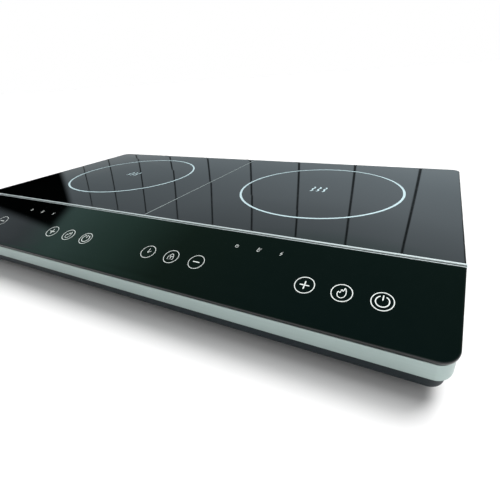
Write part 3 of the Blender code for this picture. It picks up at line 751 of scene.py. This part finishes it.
def screws():
    """Pan-head case screws with a cross recess, driven from below."""
    low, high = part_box("front_left_case_screw")
    top, head, shank = FLOOR - GAP, 3.2 * MM, 1.3 * MM
    profile = [
        (0, low.z), (2.2 * MM, low.z), (head, top - MM), (head, top), (shank, top), (shank, high.z - MM),
        (0, high.z),
    ]
    shape = to_mesh(turned(profile, 32, 0.12 * MM))
    arms = [
        box_bmesh((-a, -b, low.z - MM), (a, b, low.z + 1.1 * MM)) for a, b in in_mm((1.7, 0.4), (0.4, 1.7))]
    shape = cut(shape, cut(*arms, "UNION"))
    for name, place in SCREW_PLACES.items():
        mesh = moved(shape, place @ spun(23 * len(name)))
        piece(f"{name}_pan_screw", mesh, "zinc_steel", stands_for=[f"{name}_case_screw"])


def gland():
    """The mains lead's bush: a ribbed collar outside, a snap ridge inside, a hole through."""
    out, end, bore, barrel = -GLAND_HIGH.y, -GLAND_LOW.y, 4.5 * MM, GLAND_BARREL
    collar = -(COOK_HIGH.y - 3.8 * MM)
    rib, brim, boot = collar - 1.4 * MM, barrel + 3 * MM, barrel + 1.8 * MM
    profile = [
        (bore, end), (barrel, end), (barrel + 1.4 * MM, end - 4 * MM), (barrel, end - 6.5 * MM),
        (barrel, collar), (brim, collar), (brim, rib), (boot, rib), (boot, out), (bore, out), (bore, end),
    ]
    shape = moved(turned(profile, 48, 0.25 * MM), at(0, 0, GLAND_Z) @ spun(90, "X"))
    piece("lead_gland", shape, "gland_rubber", stands_for=["cord_gland"])


# ---------------------------------------------------------------- works of one zone


def wound_coil(side):
    """The flat spiral of stranded wire, from the hub out."""
    low, high, middle = box_of(f"{side}_induction_coil")
    radius = (high.z - low.z) / 2 - 0.05 * MM
    inner, outer = 24 * MM + radius, (high.x - low.x) / 2 - radius
    pitch, per_turn = 2 * radius + 0.02 * MM, 56
    count = int((outer - inner) / pitch * per_turn)
    points = []
    for i in range(count + 1):
        reach, angle = inner + (outer - inner) * i / count, math.tau * i / per_turn
        points.append((middle.x + reach * math.cos(angle), middle.y + reach * math.sin(angle), middle.z))
    mesh = wire(points, radius)
    piece(f"{side}_wound_coil", mesh, "copper_litz", stands_for=[f"{side}_induction_coil"], sharp=ROUND_WIRE)


BLADES, HUB, TIP = 7, 15 * MM, 36.6 * MM
BLADE_ROOT, BLADE_THICKNESS, BLADE_CAMBER = HUB - 1.5 * MM, 0.9 * MM, 1.5 * MM
CHORD, SWELL = 11, 4.8  # millimetres
ROOT_PITCH, PITCH_LOSS = 42, 13  # degrees
ROOT_SWEEP, TIP_SWEEP = 2, 5  # millimetres


def fan_blade():
    """One curved blade: a grid wrapped round the axis, cambered, twisted from root to tip and thickened."""
    bm = bmesh.new()
    bmesh.ops.create_grid(bm, x_segments=10, y_segments=8, size=0.5)
    for v in bm.verts:
        along, chord = v.co.x + 0.5, v.co.y
        reach = BLADE_ROOT + (TIP - BLADE_ROOT) * along
        width = (CHORD + SWELL * math.sin(math.pi * (0.15 + 0.62 * along))) * MM
        camber = BLADE_CAMBER * (1 - 4 * chord * chord)
        pitch = math.radians(ROOT_PITCH - PITCH_LOSS * along)
        sweep = (ROOT_SWEEP + TIP_SWEEP * along * along) * MM
        across = chord * width * math.cos(pitch) - camber * math.sin(pitch) + sweep
        level = chord * width * math.sin(pitch) + camber * math.cos(pitch)
        v.co = (reach * math.cos(across / reach), reach * math.sin(across / reach), level)
    bmesh.ops.recalc_face_normals(bm, faces=bm.faces)
    bmesh.ops.solidify(bm, geom=bm.faces[:], thickness=BLADE_THICKNESS)
    return to_mesh(bm)


def fan_rotor(side):
    """The fan's cup-shaped hub with a soft top edge and a hole round the shaft, and its swept blades."""
    low, high, middle = box_of(f"{side}_fan_rotor")
    joint = next(j for j in frame["record"]["behaviour"]["joints"] if j["name"] == f"{side}_fan_spin")
    bore, sleeve, skirt = 1.8 * MM, 4 * MM, 13.6 * MM
    roof = high.z - 1.4 * MM
    ceiling = roof - 0.4 * MM
    profile = [
        (0, roof), (bore, roof), (bore, low.z), (sleeve, low.z), (sleeve, ceiling), (skirt, ceiling),
        (skirt, low.z), (HUB, low.z), (HUB, high.z - 1.2 * MM), (13.8 * MM, high.z), (0, high.z),
    ]
    cup = to_mesh(turned(profile, 64, 0.2 * MM, 2))
    blades = [moved(fan_blade(), at(0, 0, middle.z) @ spun(360 / BLADES * i)) for i in range(BLADES)]
    mesh = moved(gathered([cup, *blades]), at(*joint["pos_m"][:2]))
    piece(f"{side}_fan_wheel", mesh, "black_nylon", body=f"{side}_fan", stands_for=[f"{side}_fan_rotor"])


def fan_housing(side):
    """The square housing: a flared duct, drilled flanges, a motor seat on crossed struts and the shaft."""
    low, high, middle = box_of(f"{side}_fan_frame")
    half, duct, depth, hole_spot = (high.x - low.x) / 2, 38 * MM, high.z - low.z, 35.75 * MM
    flare, flange, out = duct + 1.4 * MM, 3 * MM, depth + MM
    mesh = to_mesh(rounded_box((-half, -half, 0), (half, half, depth), 4 * MM, 4 * MM, 6))
    bell = [
        (0, -MM), (flare, -MM), (flare, 0), (duct, 2 * MM), (duct, depth - 2 * MM), (flare, depth),
        (flare, out), (0, out),
    ]
    mesh = cut(mesh, turned(bell, 72))
    mesh = cut(mesh, tube(41.5 * MM, 60 * MM, flange, depth - flange, 48))
    hole, ends = rod(2.1 * MM, -MM, out, 20), (-hole_spot, hole_spot)
    mesh = cut(mesh, copies(hole, [at(x, y) for x in ends for y in ends]))
    strut = block(duct + MM, 1.5 * MM, 0.2 * MM, 2.2 * MM, 0.4 * MM)
    seat = turned(in_mm((0, 0.1), (15, 0.1), (15, 2.4), (1.5, 2.4), (1.5, 11.5), (0, 11.5)), 48, 0.2 * MM)
    for part in (moved(strut, spun(45)), moved(strut, spun(135)), seat):
        mesh = cut(mesh, part, "UNION")
    mesh = moved(mesh, at(middle.x, middle.y, low.z))
    piece(f"{side}_fan_housing", mesh, "black_nylon", stands_for=[f"{side}_fan_frame"])


def cooling_sink(side):
    """An extruded sink with ribbed, slightly tapered fins."""
    low, high, _ = box_of(f"{side}_heatsink")
    plate, fins, thick, steps, rounding = 4 * MM, 9, 1.4 * MM, 7, 0.35 * MM
    pitch, root = (high.x - low.x - thick) / (fins - 1), low.z + plate
    flank = [
        (0.12 * MM if step % 2 else 0, 0.03 * MM * step, root + (high.z - root) * step / steps)
        for step in range(steps)
    ]
    outline = [(low.x, low.z), (high.x, low.z)]
    for i in reversed(range(fins)):
        left = low.x + i * pitch
        outline += [(left + thick - rib - taper, level) for rib, taper, level in flank]
        outline += [(left + thick - rounding, high.z), (left + rounding, high.z)]
        outline += [(left + rib + taper, level) for rib, taper, level in reversed(flank)]
    bm = bmesh.new()
    bm.faces.new([bm.verts.new((x, low.y, z)) for x, z in dict.fromkeys(outline)])
    swept(bm, (0, high.y - low.y, 0))
    piece(f"{side}_cooling_sink", bm, "mill_aluminium", stands_for=[f"{side}_heatsink"])


def package(side, node, legs, pitch):
    """A moulded power package that lies under the sink, with a screw hole and bent legs."""
    low, high, middle = box_of(f"{side}_{node}")
    shoulder, bend = low.y + 4.5 * MM, low.z + 2 * MM
    body = soft_box((low.x, shoulder, low.z + 0.4 * MM), tuple(high), 0.5 * MM)
    eye = moved(rod(1.7 * MM, -0.02, 0.02, 24), at(middle.x, high.y - 4 * MM, middle.z))
    piece(f"{side}_{node}_body", cut(body, eye), "black_epoxy", stands_for=[f"{side}_{node}"])
    strips = []
    for i in range(legs):
        x = middle.x + (i - (legs - 1) / 2) * pitch
        for half, near, far, under in (
            (0.6 * MM, low.y + 0.6 * MM, shoulder + 0.3 * MM, low.z + 1.4 * MM),
            (0.5 * MM, low.y + 0.3 * MM, low.y + 0.9 * MM, low.z + 0.02 * MM),
        ):
            strips.append(soft_box((x - half, near, under), (x + half, far, bend), 0.15 * MM))
    piece(f"{side}_{node}_legs", gathered(strips), "tin")


def box_capacitor(side, node, look):
    """A moulded box capacitor with round edges, a stepped foot and two leads."""
    low, high, middle = box_of(f"{side}_{node}")
    body = soft_box((low.x, low.y, low.z + MM), tuple(high), 0.9 * MM, 3)
    soles = [
        soft_box((x, low.y + 0.3 * MM, low.z), (x + 2 * MM, high.y - 0.3 * MM, low.z + 1.6 * MM), 0.3 * MM)
        for x in (low.x + 0.4 * MM, high.x - 2.4 * MM)
    ]
    piece(f"{side}_{node}_case", gathered([body, *soles]), look, stands_for=[f"{side}_{node}"])
    leads = [
        wire([(x, middle.y, low.z + 0.1 * MM), (x, middle.y, low.z + 1.4 * MM)], MM * 0.4)
        for x in (low.x + 4 * MM, high.x - 4 * MM)
    ]
    piece(f"{side}_{node}_leads", gathered(leads), "tin")


def can(radius, height):
    """A small upright can with a crimped foot and a scored, domed top."""
    groove, brim, score = radius - 0.35 * MM, radius - 1.1 * MM, height - 0.25 * MM
    profile = [
        (0, 0), (radius, 0), (radius, 0.9 * MM), (groove, 1.3 * MM), (radius, 1.8 * MM),
        (radius, height - 0.5 * MM), (radius - 0.5 * MM, height), (brim, height), (radius - 1.3 * MM, score),
        (0, score),
    ]
    return to_mesh(turned(profile, 28))


def chip(width, depth, height, legs):
    """A small flat package with legs along both long sides."""
    parts = [block(width / 2, depth / 2, 0.25 * MM, height, 0.2 * MM)]
    for side in (-1, 1):
        low, high = sorted((depth / 2 * side, (depth / 2 + 0.9 * MM) * side))
        for i in range(legs):
            x = (i - (legs - 1) / 2) * width / legs
            parts.append(soft_box((x - 0.2 * MM, low, 0), (x + 0.2 * MM, high, 0.45 * MM), 0.05 * MM, 1))
    return gathered(parts)


def board_parts(side):
    """The small parts on the power board: cans, resistors, chips, a drive transformer and solder joints."""
    _, high, middle = box_of(f"{side}_power_board")
    place = at(middle.x, 0, high.z + 0.05 * MM)

    def spread(shape, spots):
        return [moved(shape, place @ at_mm(*spot)) for spot in spots]

    cans = spread(can(4.2 * MM, 12 * MM), [(x, -74) for x in (-58, -47, -36)])
    cans += spread(can(2.6 * MM, 8 * MM), [(-20, y) for y in (-78, -70)])
    piece(f"{side}_board_cans", gathered(cans), "capacitor_grey")
    dark = spread(chip(13 * MM, 6 * MM, 2 * MM, 8), [(-16, -52)])
    dark += spread(chip(5 * MM, 4 * MM, 1.6 * MM, 4), [(20, -50), (29, -50)])
    dark += spread(block(9 * MM, 7 * MM, 0, 13 * MM, 0.8 * MM), [(-46, -50)])
    resistors = [(14 + 3.2 * i, -62 - 3 * j) for i in range(7) for j in range(3)]
    dark += spread(block(MM, 0.6 * MM, 0, 0.7 * MM, 0.1 * MM, 1), resistors)
    piece(f"{side}_board_chips", gathered(dark), "black_epoxy")
    joints = spread(can(1.7 * MM, 1.0 * MM), [(60, -64.5, -0.02), (5, -66.5, -0.02)])
    joints += spread(block(2 * MM, MM, 0, 0.5 * MM, 0.2 * MM), [(x, -40) for x in (-8, 0, 8)])
    piece(f"{side}_board_pads", gathered(joints), "tin")
    socket = spread(block(7.5 * MM, 3 * MM, 0, 1.1 * MM, 0.3 * MM), [(45, -80)])
    piece(f"{side}_ribbon_socket", socket[0], "cream_nylon")


def ferrite_bars(side):
    """Four ground bars with chamfered edges, laid out like a cross under the coil."""
    coil = box_of(f"{side}_induction_coil")[2]
    low, high, _ = box_of(f"{side}_ferrite_bar_1")
    shape = soft_box((29 * MM, -6 * MM, low.z), (81 * MM, 6 * MM, high.z), 0.45 * MM, 1)
    for i in range(4):
        mesh = moved(shape, at(coil.x, coil.y) @ spun(45 + 90 * i))
        piece(f"{side}_flux_bar_{i + 1}", mesh, "ferrite", stands_for=[f"{side}_ferrite_bar_{i + 1}"])


def pan_probe(side):
    """The soft cup that presses the temperature sensor up to the glass, with two folds."""
    low, high, middle = box_of(f"{side}_pan_sensor")
    wide, z, cap, tip = (high.x - low.x) / 2, low.z, high.z - 0.1 * MM, 3 * MM
    fold = wide - 0.9 * MM
    profile = [
        (0, z), (wide - 1.5 * MM, z), (wide, z + 1.2 * MM), (fold, z + 3.2 * MM), (wide, z + 4.8 * MM),
        (fold, z + 6.6 * MM), (wide - 0.5 * MM, z + 8 * MM), (wide - 2 * MM, cap), (tip, cap), (tip, high.z),
        (0, high.z),
    ]
    shape = moved(turned(profile, 48, 0.35 * MM), at(middle.x, middle.y))
    piece(f"{side}_pan_probe", shape, "white_silicone", stands_for=[f"{side}_pan_sensor"])


# Segments of a digit: middle across and up in millimetres, and whether it stands.
SEGMENTS = (
    (0, 2.9, 0), (0, 0, 0), (0, -2.9, 0), (1.5, 1.45, 1), (-1.5, 1.45, 1), (1.5, -1.45, 1), (-1.5, -1.45, 1))


def readout(side):
    """The display module: a white block with four recessed digits."""
    top, tall, half_x, front, back = BEHIND_PANEL, 7.5 * MM, 25 * MM, -52 * MM, -33 * MM
    long, thin = 0.95 * MM, 0.4 * MM
    body = soft_box((-half_x, front, top - tall), (half_x, back, top), 0.5 * MM)
    bars = []
    for digit in range(4):
        for across, up, stands in SEGMENTS:
            dx, dy = (thin, long) if stands else (long, thin)
            x, y = (digit - 1.5) * 8 * MM + across * MM, (front + back) / 2 + up * MM
            bars.append(to_mesh(box_bmesh((x - dx, y - dy, top - 0.5 * MM), (x + dx, y + dy, top + MM))))
    mesh = moved(cut(body, gathered(bars)), on_panel(side, 0, 0) @ at(0, 0, -LIFT))
    piece(f"{side}_readout", mesh, "display_white", stands_for=[f"{side}_display"])


def touch_parts(side):
    """What hangs under the touch board: its controller and small parts."""
    board, slack = 1.6 * MM, 0.07 * MM
    below = BEHIND_PANEL - board - slack
    place = on_panel(side, 0, 0) @ at(0, 0, below) @ spun(180, "Y")
    parts = [moved(chip(10 * MM, 8 * MM, 1.8 * MM, 10), place @ at_mm(60, -25))]
    parts += [moved(chip(5 * MM, 3.6 * MM, 1.5 * MM, 4), place @ at_mm(x, -22)) for x in (-80, -70, 84)]
    small = block(MM, 0.6 * MM, 0, 0.8 * MM, 0.1 * MM, 1)
    parts += [moved(small, place @ at_mm(-105 + 6 * i, -32)) for i in range(10)]
    piece(f"{side}_touch_chips", gathered(parts), "black_epoxy")


def zone_works(side):
    """All pieces under one cooking zone, and its part of the controls."""
    wound_coil(side)
    fan_rotor(side)
    fan_housing(side)
    cooling_sink(side)
    package(side, "power_transistor", 3, 5.4 * MM)
    package(side, "bridge_rectifier", 4, 6 * MM)
    box_capacitor(side, "smoothing_capacitor", "capacitor_grey")
    box_capacitor(side, "resonance_capacitor", "capacitor_blue")
    for make in (board_parts, ferrite_bars, pan_probe, readout, touch_parts):
        make(side)


# ---------------------------------------------------------------- mains pieces


def terminal_block():
    """Three screw clamps in a moulded block, with side entries for the wires."""
    low, high, middle = box_of("mains_terminal_block")
    pitch, half = 9.5 * MM, 0.5 * MM
    spots = [middle.x + i * pitch for i in (-1, 0, 1)]
    body = soft_box(tuple(low), tuple(high), 0.8 * MM)
    well, entry = rod(3.2 * MM, high.z - 7 * MM, 0.1, 28), rod(2.2 * MM, -0.05, 0.05, 24)
    body = cut(body, copies(well, [at(x, middle.y) for x in spots]))
    body = cut(body, copies(entry, [at(x, middle.y, low.z + 5 * MM) @ spun(90, "X") for x in spots]))
    grooves = [
        to_mesh(box_bmesh((x - half, low.y - MM, high.z - 3 * MM), (x + half, high.y + MM, high.z + MM)))
        for x in (spots[0] + pitch / 2, spots[1] + pitch / 2)
    ]
    body = cut(body, gathered(grooves))
    piece("terminal_block_body", body, "cream_nylon", stands_for=["mains_terminal_block"])
    slot = box_bmesh(*in_mm((-3, -0.35, 0.8), (3, 0.35, 2)))
    head = cut(rod(2.6 * MM, 0, 1.4 * MM, 28, 0.25 * MM), slot)
    heads = copies(head, [at(x, middle.y, high.z - 6.8 * MM) @ spun(35 * i) for i, x in enumerate(spots)])
    piece("terminal_screws", heads, "brass")


def choke():
    """A coated ring core under two windings of enamelled wire."""
    low, high, middle = box_of("mains_filter_choke")
    radius, bend, skin = 0.62 * MM, 1.2 * MM, 1.5 * MM
    inner, outer = 8 * MM, (high.x - low.x) / 2
    core = tube(inner + skin, outer - skin, low.z + skin, high.z - skin, 64, 0.8 * MM)
    core = moved(core, at(middle.x, middle.y))
    piece("choke_core", core, "core_coating", stands_for=["mains_filter_choke"])
    near, far, under, over = inner + radius, outer - radius, low.z + radius, high.z - radius
    loop = [
        (near, 0, under + bend), (near, 0, over - bend), (near + bend, 0, over), (far - bend, 0, over),
        (far, 0, over - bend), (far, 0, under + bend), (far - bend, 0, under), (near + bend, 0, under),
    ]
    angles = [start + 10.4 * i for start in (22, 202) for i in range(14)]
    turns = copies(wire(loop, radius, True), [at(middle.x, middle.y) @ spun(angle) for angle in angles])
    piece("choke_windings", turns, "copper_winding", sharp=ROUND_WIRE)


# ---------------------------------------------------------------- print on the glasses

KEY_RING, KEY_LINE, FINE_KEY_LINE = 7.45 * MM, 0.66 * MM, 0.52 * MM
SIGN_LINE = 0.34 * MM
KEY_ROW, LAMP_ROW = -42.5 * MM, -16.5 * MM
RING_RADIUS, RING_LINE = 94.6 * MM, 2.5 * MM
CONTROLS_X = 147.8 * MM


def arc_stroke(radius, line, start=0.0, sweep=360.0, steps=48, centre=(0, 0)):
    """A flat printed arc about a centre, in degrees."""
    bm = bmesh.new()
    inner, outer = radius - line / 2, radius + line / 2
    corners = ((inner, 0, 0), (outer, 0, 0), (outer, 0, PRINT), (inner, 0, PRINT))
    first = [bm.verts.new(corner) for corner in corners]
    for pair in zip(first, first[1:] + first[:1]):
        bm.edges.new(pair)
    full = sweep >= 360
    spin(bm, math.radians(sweep), steps, full)
    if not full:
        bmesh.ops.holes_fill(bm, edges=[e for e in bm.edges if e.is_boundary], sides=4)
    return put(bm, at(*centre) @ spun(start))


def bar(a, b, line):
    """A flat printed bar between two points, with round ends."""
    a, b = Vector((*a, 0)), Vector((*b, 0))
    bm = box_bmesh((-line / 2, -line / 2, 0), ((b - a).length + line / 2, line / 2, PRINT))
    rounded(bm, standing(bm), line * 0.49, 4)
    turn = Vector((1, 0, 0)).rotation_difference(b - a).to_matrix().to_4x4()
    return put(bm, Matrix.Translation(a) @ turn)


def smooth_stroke(points, width, closed=False, steps=6, slack=1.0):
    """A flat printed line of even width on a smooth curve through points in millimetres."""
    curve, line = round_line(width / 2, "BEZIER", points, closed)
    curve.resolution_u = steps
    for knot, (x, y) in zip(line.bezier_points, in_mm(*points)):
        knot.co = (x, y, 0)
        knot.handle_left_type = knot.handle_right_type = "AUTO"
    if slack < 1:
        for knot in line.bezier_points:
            left, right = knot.handle_left.copy(), knot.handle_right.copy()
            knot.handle_left_type = knot.handle_right_type = "FREE"
            knot.handle_left = knot.co.lerp(left, slack)
            knot.handle_right = knot.co.lerp(right, slack)
    mesh = line_mesh(curve)
    mesh.transform(at(0, 0, PRINT / 2) @ Matrix.Diagonal((1, 1, PRINT / width, 1)))
    return mesh


def bars(points, line):
    """Printed bars between pairs of points in millimetres."""
    return [bar(*in_mm(*pair), line) for pair in points]


def chain(corners):
    """Each corner with the next one."""
    return list(zip(corners, corners[1:]))


def plus_icon():
    return bars((((-3.3, 0), (3.3, 0)), ((0, -3.3), (0, 3.3))), 0.95 * MM)


def minus_icon():
    return bars((((-3, 0), (3, 0)),), 0.95 * MM)


def clock_icon():
    hub = (-0.2, -0.9)
    return bars(((hub, (-0.2, 4.1)), (hub, (2.7, 1.4))), 0.55 * MM)


def lock_icon():
    """A padlock with a keyhole."""
    line, reach, rise, top = 0.48 * MM, 1.7, 1.5, 0.3
    corners = ((-2.8, top), (2.8, top), (2.8, -3.2), (-2.8, -3.2), (-2.8, top))
    shackle = arc_stroke(reach * MM, line, 0, 180, 16, (0, rise * MM))
    legs = bars([((x, top), (x, rise)) for x in (-reach, reach)], line)
    return [*bars(chain(corners), line), shackle, *legs, *bars((((0, -0.9), (0, -2)),), 0.7 * MM)]


def flame_icon():
    """A flame with three points, open inside."""
    outline = (
        (0.1, -4.5), (2.1, -3.4), (3.0, -1.0), (2.9, 1.2), (1.6, 4.5), (0.6, 1.6), (-0.5, 2.9), (-1.3, -0.1),
        (-2.6, 0.9), (-3.0, -1.6), (-2.0, -3.7),
    )
    return [smooth_stroke(outline, 0.6 * MM, True, 5, 0.35)]


def power_icon():
    return [arc_stroke(4.5 * MM, 0.8 * MM, 116, 308, 40), *bars((((0, 1.2), (0, 4.9)),), 0.8 * MM)]


def timer_sign():
    return [arc_stroke(1.5 * MM, SIGN_LINE, 0, 360, 24), *bars((((0, 0), (0, 1)),), SIGN_LINE)]


def heat_sign():
    """A thermometer with two marks beside it."""
    stem, low, top = 0.5, -0.25, 2
    lines = (
        ((-stem, low), (-stem, top)), ((stem, low), (stem, top)), ((-stem, top), (stem, top)),
        ((1.5, 1.5), (2.4, 1.5)), ((1.5, 0.3), (2.1, 0.3)),
    )
    return [arc_stroke(MM, SIGN_LINE, 120, 300, 20, (0, -1.1 * MM)), *bars(lines, SIGN_LINE)]


def level_sign():
    """A small zigzag bolt."""
    return bars(chain(((0.8, 2.1), (-1.0, -0.1), (1.0, 0.1), (-0.8, -2.1))), SIGN_LINE)


# Marks on the control glass: distance from the middle of a zone's controls in millimetres, and the icon.
KEYS = {
    "clock": (-104.0, clock_icon),
    "lock": (-76.6, lock_icon),
    "minus": (-48.9, minus_icon),
    "plus": (49.6, plus_icon),
    "flame": (77.2, flame_icon),
    "power": (104.6, power_icon),
}
LAMPS = {"timer": (-21.0, timer_sign), "heat": (0.0, heat_sign), "level": (21.0, level_sign)}


def on_panel(side, across, down):
    """Where a mark goes on the control glass."""
    return PANEL_PLACE @ at(CONTROLS_X * SIDES[side] + across, down, LIFT)


def panel_print():
    """Touch keys in their rings, and small lamp signs above the display."""
    for side in SIDES:
        for name, (across, icon) in KEYS.items():
            marks = [arc_stroke(KEY_RING, KEY_LINE if across > 0 else FINE_KEY_LINE, steps=64), *icon()]
            mesh = moved(gathered(marks), on_panel(side, across * MM, KEY_ROW))
            piece(f"{side}_{name}_key", mesh, "icon_print")
        for name, (across, icon) in LAMPS.items():
            mesh = moved(gathered(icon()), on_panel(side, across * MM, LAMP_ROW))
            piece(f"{side}_{name}_sign", mesh, "icon_print")


def heat_waves():
    """Three rising waves, the sign of a heating zone."""
    wave = ((-0.9, -8.6), (0.7, -5.2), (-0.7, -0.4), (0.9, 4.4), (-0.3, 8.6))
    for shift in (-7.2, 0, 7.2):
        yield smooth_stroke([(shift + x, y) for x, y in wave], 1.9 * MM)


def cooking_print():
    """A ring and a sign of heat for each zone, and the line between the zones."""
    level = TOP + LIFT
    for side, sign in SIDES.items():
        place = at(sign * ZONE_X, ZONE_Y, level)
        for part, mesh in (
            ("ring", arc_stroke(RING_RADIUS, RING_LINE, steps=160)), ("sign", gathered(heat_waves())),
        ):
            piece(f"{side}_zone_{part}", moved(mesh, place), "glass_print")
    line = box_bmesh((-0.6 * MM, COOK_LOW.y + MM, level), (0.6 * MM, COOK_HIGH.y - 2 * MM, level + PRINT))
    rounded(line, standing(line), 0.5 * MM, 3)
    piece("zone_divider", line, "fine_line_print")


# ---------------------------------------------------------------- studio

EYE, LOOK, ROLL, LENS = (0.2680, -0.3480, 0.1868), (-0.4358, 0.7798, -0.4494), math.radians(-3.94), 24.58
ROOM_LEVELS = (
    (0.00, (0.60, 0.66, 0.68)),
    (0.12, (0.44, 0.52, 0.56)),
    (0.22, (0.48, 0.57, 0.62)),
    (0.32, (0.58, 0.68, 0.74)),
    (0.42, (0.58, 0.68, 0.74)),
    (0.50, (0.27, 0.46, 0.42)),
    (0.66, (0.19, 0.38, 0.31)),
    (0.78, (0.09, 0.19, 0.14)),
    (1.00, (0.07, 0.18, 0.165)),
)
# Dim places in the room: where each starts and ends round the wall, its top, and how much light it takes.
DIM_PLACES = (
    ((-1.39, -1.36), (-1.015, -0.995), (0.48, 0.51), 1),
    ((0.19, 0.25), (1.2, 1.3), (0.5, 0.6), 0.92),
)
PANEL_PITCH, PANEL_SHIFT, PANEL_GAP = 0.173, 0.12, 0.030
PANEL_LEAN, PANEL_PIVOT = 0.08, 1.2
# Steps over the room's height, the turn round the wall or the run along it: start, end and their values.
LOW_WALL, LEFT_SHADE = (0.42, 0.54, 1, 0), (-1.1, 0.0, 0.42, 1, False)
SEAM, PANELS_END, PANELS_TOP = (0.012, PANEL_GAP, 0.13, 1), (1.5, 1.55), (0.46, 0.52)
SKY = 0.42


def studio():
    """Pale floor and camera."""
    bm = bmesh.new()
    bmesh.ops.create_grid(bm, x_segments=1, y_segments=1, size=200)
    mesh = bpy.data.meshes.new("floor")
    bm.to_mesh(mesh)
    bm.free()
    floor = placed("floor", mesh)
    paint = bpy.data.materials.new("floor_paint")
    paint.use_nodes = True
    shader = paint.node_tree.nodes["Principled BSDF"]
    shader.inputs["Base Color"].default_value = (0.92, 0.92, 0.92, 1)
    shader.inputs["Roughness"].default_value = 0.9
    shader.inputs["Specular IOR Level"].default_value = 0.0
    mesh.materials.append(paint)

    data = bpy.data.cameras.new("camera")
    data.lens = LENS
    data.sensor_width = 36
    data.clip_start = 0.01
    camera = placed("camera", data)
    camera.location = EYE
    camera.rotation_mode = "QUATERNION"
    camera.rotation_quaternion = Vector(LOOK).to_track_quat("-Z", "Y") @ Quaternion((0, 0, 1), ROLL)
    bpy.context.scene.camera = camera
    bpy.context.scene.view_settings.view_transform = "Standard"


def sun(name, direction, strength, spread):
    """An even, soft light from a direction, which doesn't show in reflections."""
    data = bpy.data.lights.new(name, "SUN")
    data.energy = strength
    data.angle = math.radians(spread)
    lamp = placed(name, data)
    lamp.rotation_mode = "QUATERNION"
    lamp.rotation_quaternion = (-Vector(direction)).to_track_quat("-Z", "Y")
    lamp.visible_glossy = False


def soft_lamp(name, place, size, power):
    """A square lamp that shines straight down and doesn't show."""
    data = bpy.data.lights.new(name, "AREA")
    data.size = size
    data.energy = power
    lamp = placed(name, data)
    lamp.location = place
    lamp.visible_glossy = False
    lamp.visible_camera = False


def dome(tree):
    """What shows in reflections: a bank of soft panels behind the table, two dim places, a dark ceiling."""
    def times(a, b):
        return formula(tree, "MULTIPLY", a, b)

    def rest(a):
        return formula(tree, "SUBTRACT", 1, a)

    place = tree.nodes.new("ShaderNodeTexCoord")
    split = tree.nodes.new("ShaderNodeSeparateXYZ")
    tree.links.new(place.outputs["Generated"], split.inputs["Vector"])
    across, back, level = split.outputs["X"], split.outputs["Y"], split.outputs["Z"]
    colour = ramp_of(tree, level, ROOM_LEVELS)

    around = formula(tree, "ARCTAN2", across, back)
    low_wall = eased(tree, level, *LOW_WALL)
    shade = times(eased(tree, around, *LEFT_SHADE), low_wall)
    shade = formula(tree, "ADD", shade, rest(low_wall))
    for start, end, top, taken in DIM_PLACES:
        dim = times(eased(tree, around, *start), eased(tree, around, *end, 1, 0))
        shade = times(shade, rest(times(dim, eased(tree, level, *top, taken, 0))))

    lean = times(level, PANEL_LEAN)
    depth = formula(tree, "MAXIMUM", formula(tree, "ADD", back, lean), 0.01)
    shifted = formula(tree, "SUBTRACT", across, times(lean, PANEL_PIVOT))
    run = formula(tree, "DIVIDE", shifted, depth)
    turn = formula(tree, "ADD", formula(tree, "DIVIDE", run, PANEL_PITCH), PANEL_SHIFT)
    seam = eased(tree, formula(tree, "PINGPONG", turn, 0.5), *SEAM)
    beside = eased(tree, formula(tree, "ABSOLUTE", run), *PANELS_END)
    plain = formula(tree, "MAXIMUM", beside, eased(tree, level, *PANELS_TOP))

    glow = tree.nodes.new("ShaderNodeBackground")
    tree.links.new(colour, glow.inputs["Color"])
    tree.links.new(times(shade, formula(tree, "MAXIMUM", seam, plain)), glow.inputs["Strength"])
    return glow


def mixed(tree, ray, plain, special):
    """One background, or another for a kind of ray."""
    made = tree.nodes.new("ShaderNodeMixShader")
    tree.links.new(ray, made.inputs["Fac"])
    tree.links.new(plain.outputs[0], made.inputs[1])
    tree.links.new(special.outputs[0], made.inputs[2])
    return made


def lights():
    """A soft key from behind, a small fill, and a white sky that only lights matt surfaces."""
    sun("key", direction=(0.28, 0.72, 0.98), strength=3.5, spread=44)
    soft_lamp("corner_fill", place=(0.32, -0.15, 0.31), size=0.10, power=0.26)
    world = bpy.data.worlds.new("studio")
    world.use_nodes = True
    bpy.context.scene.world = world
    tree = world.node_tree
    tree.nodes.clear()
    seen, sky = [tree.nodes.new("ShaderNodeBackground") for _ in range(2)]
    for white in (seen, sky):
        white.inputs["Color"].default_value = (1, 1, 1, 1)
    sky.inputs["Strength"].default_value = SKY
    path = tree.nodes.new("ShaderNodeLightPath")
    matt = mixed(tree, path.outputs["Is Diffuse Ray"], dome(tree), sky)
    whole = mixed(tree, path.outputs["Is Camera Ray"], matt, seen)
    out = tree.nodes.new("ShaderNodeOutputWorld")
    tree.links.new(whole.outputs["Shader"], out.inputs["Surface"])


def carried_finishes():
    """CAD nodes that keep their own shape take the finish of their slot."""
    slots = {entry["node"]: entry["material_slot"] for entry in frame["record"]["subparts"]}
    for name, node in frame["nodes"].items():
        node.data.materials.clear()
        node.data.materials.append(FINISHES[slots[name]])


for step in (studio, lights, glasses, trim, surround, case, feet, screws, gland):
    step()
for side in SIDES:
    zone_works(side)
for step in (terminal_block, choke, panel_print, cooking_print, carried_finishes):
    step()
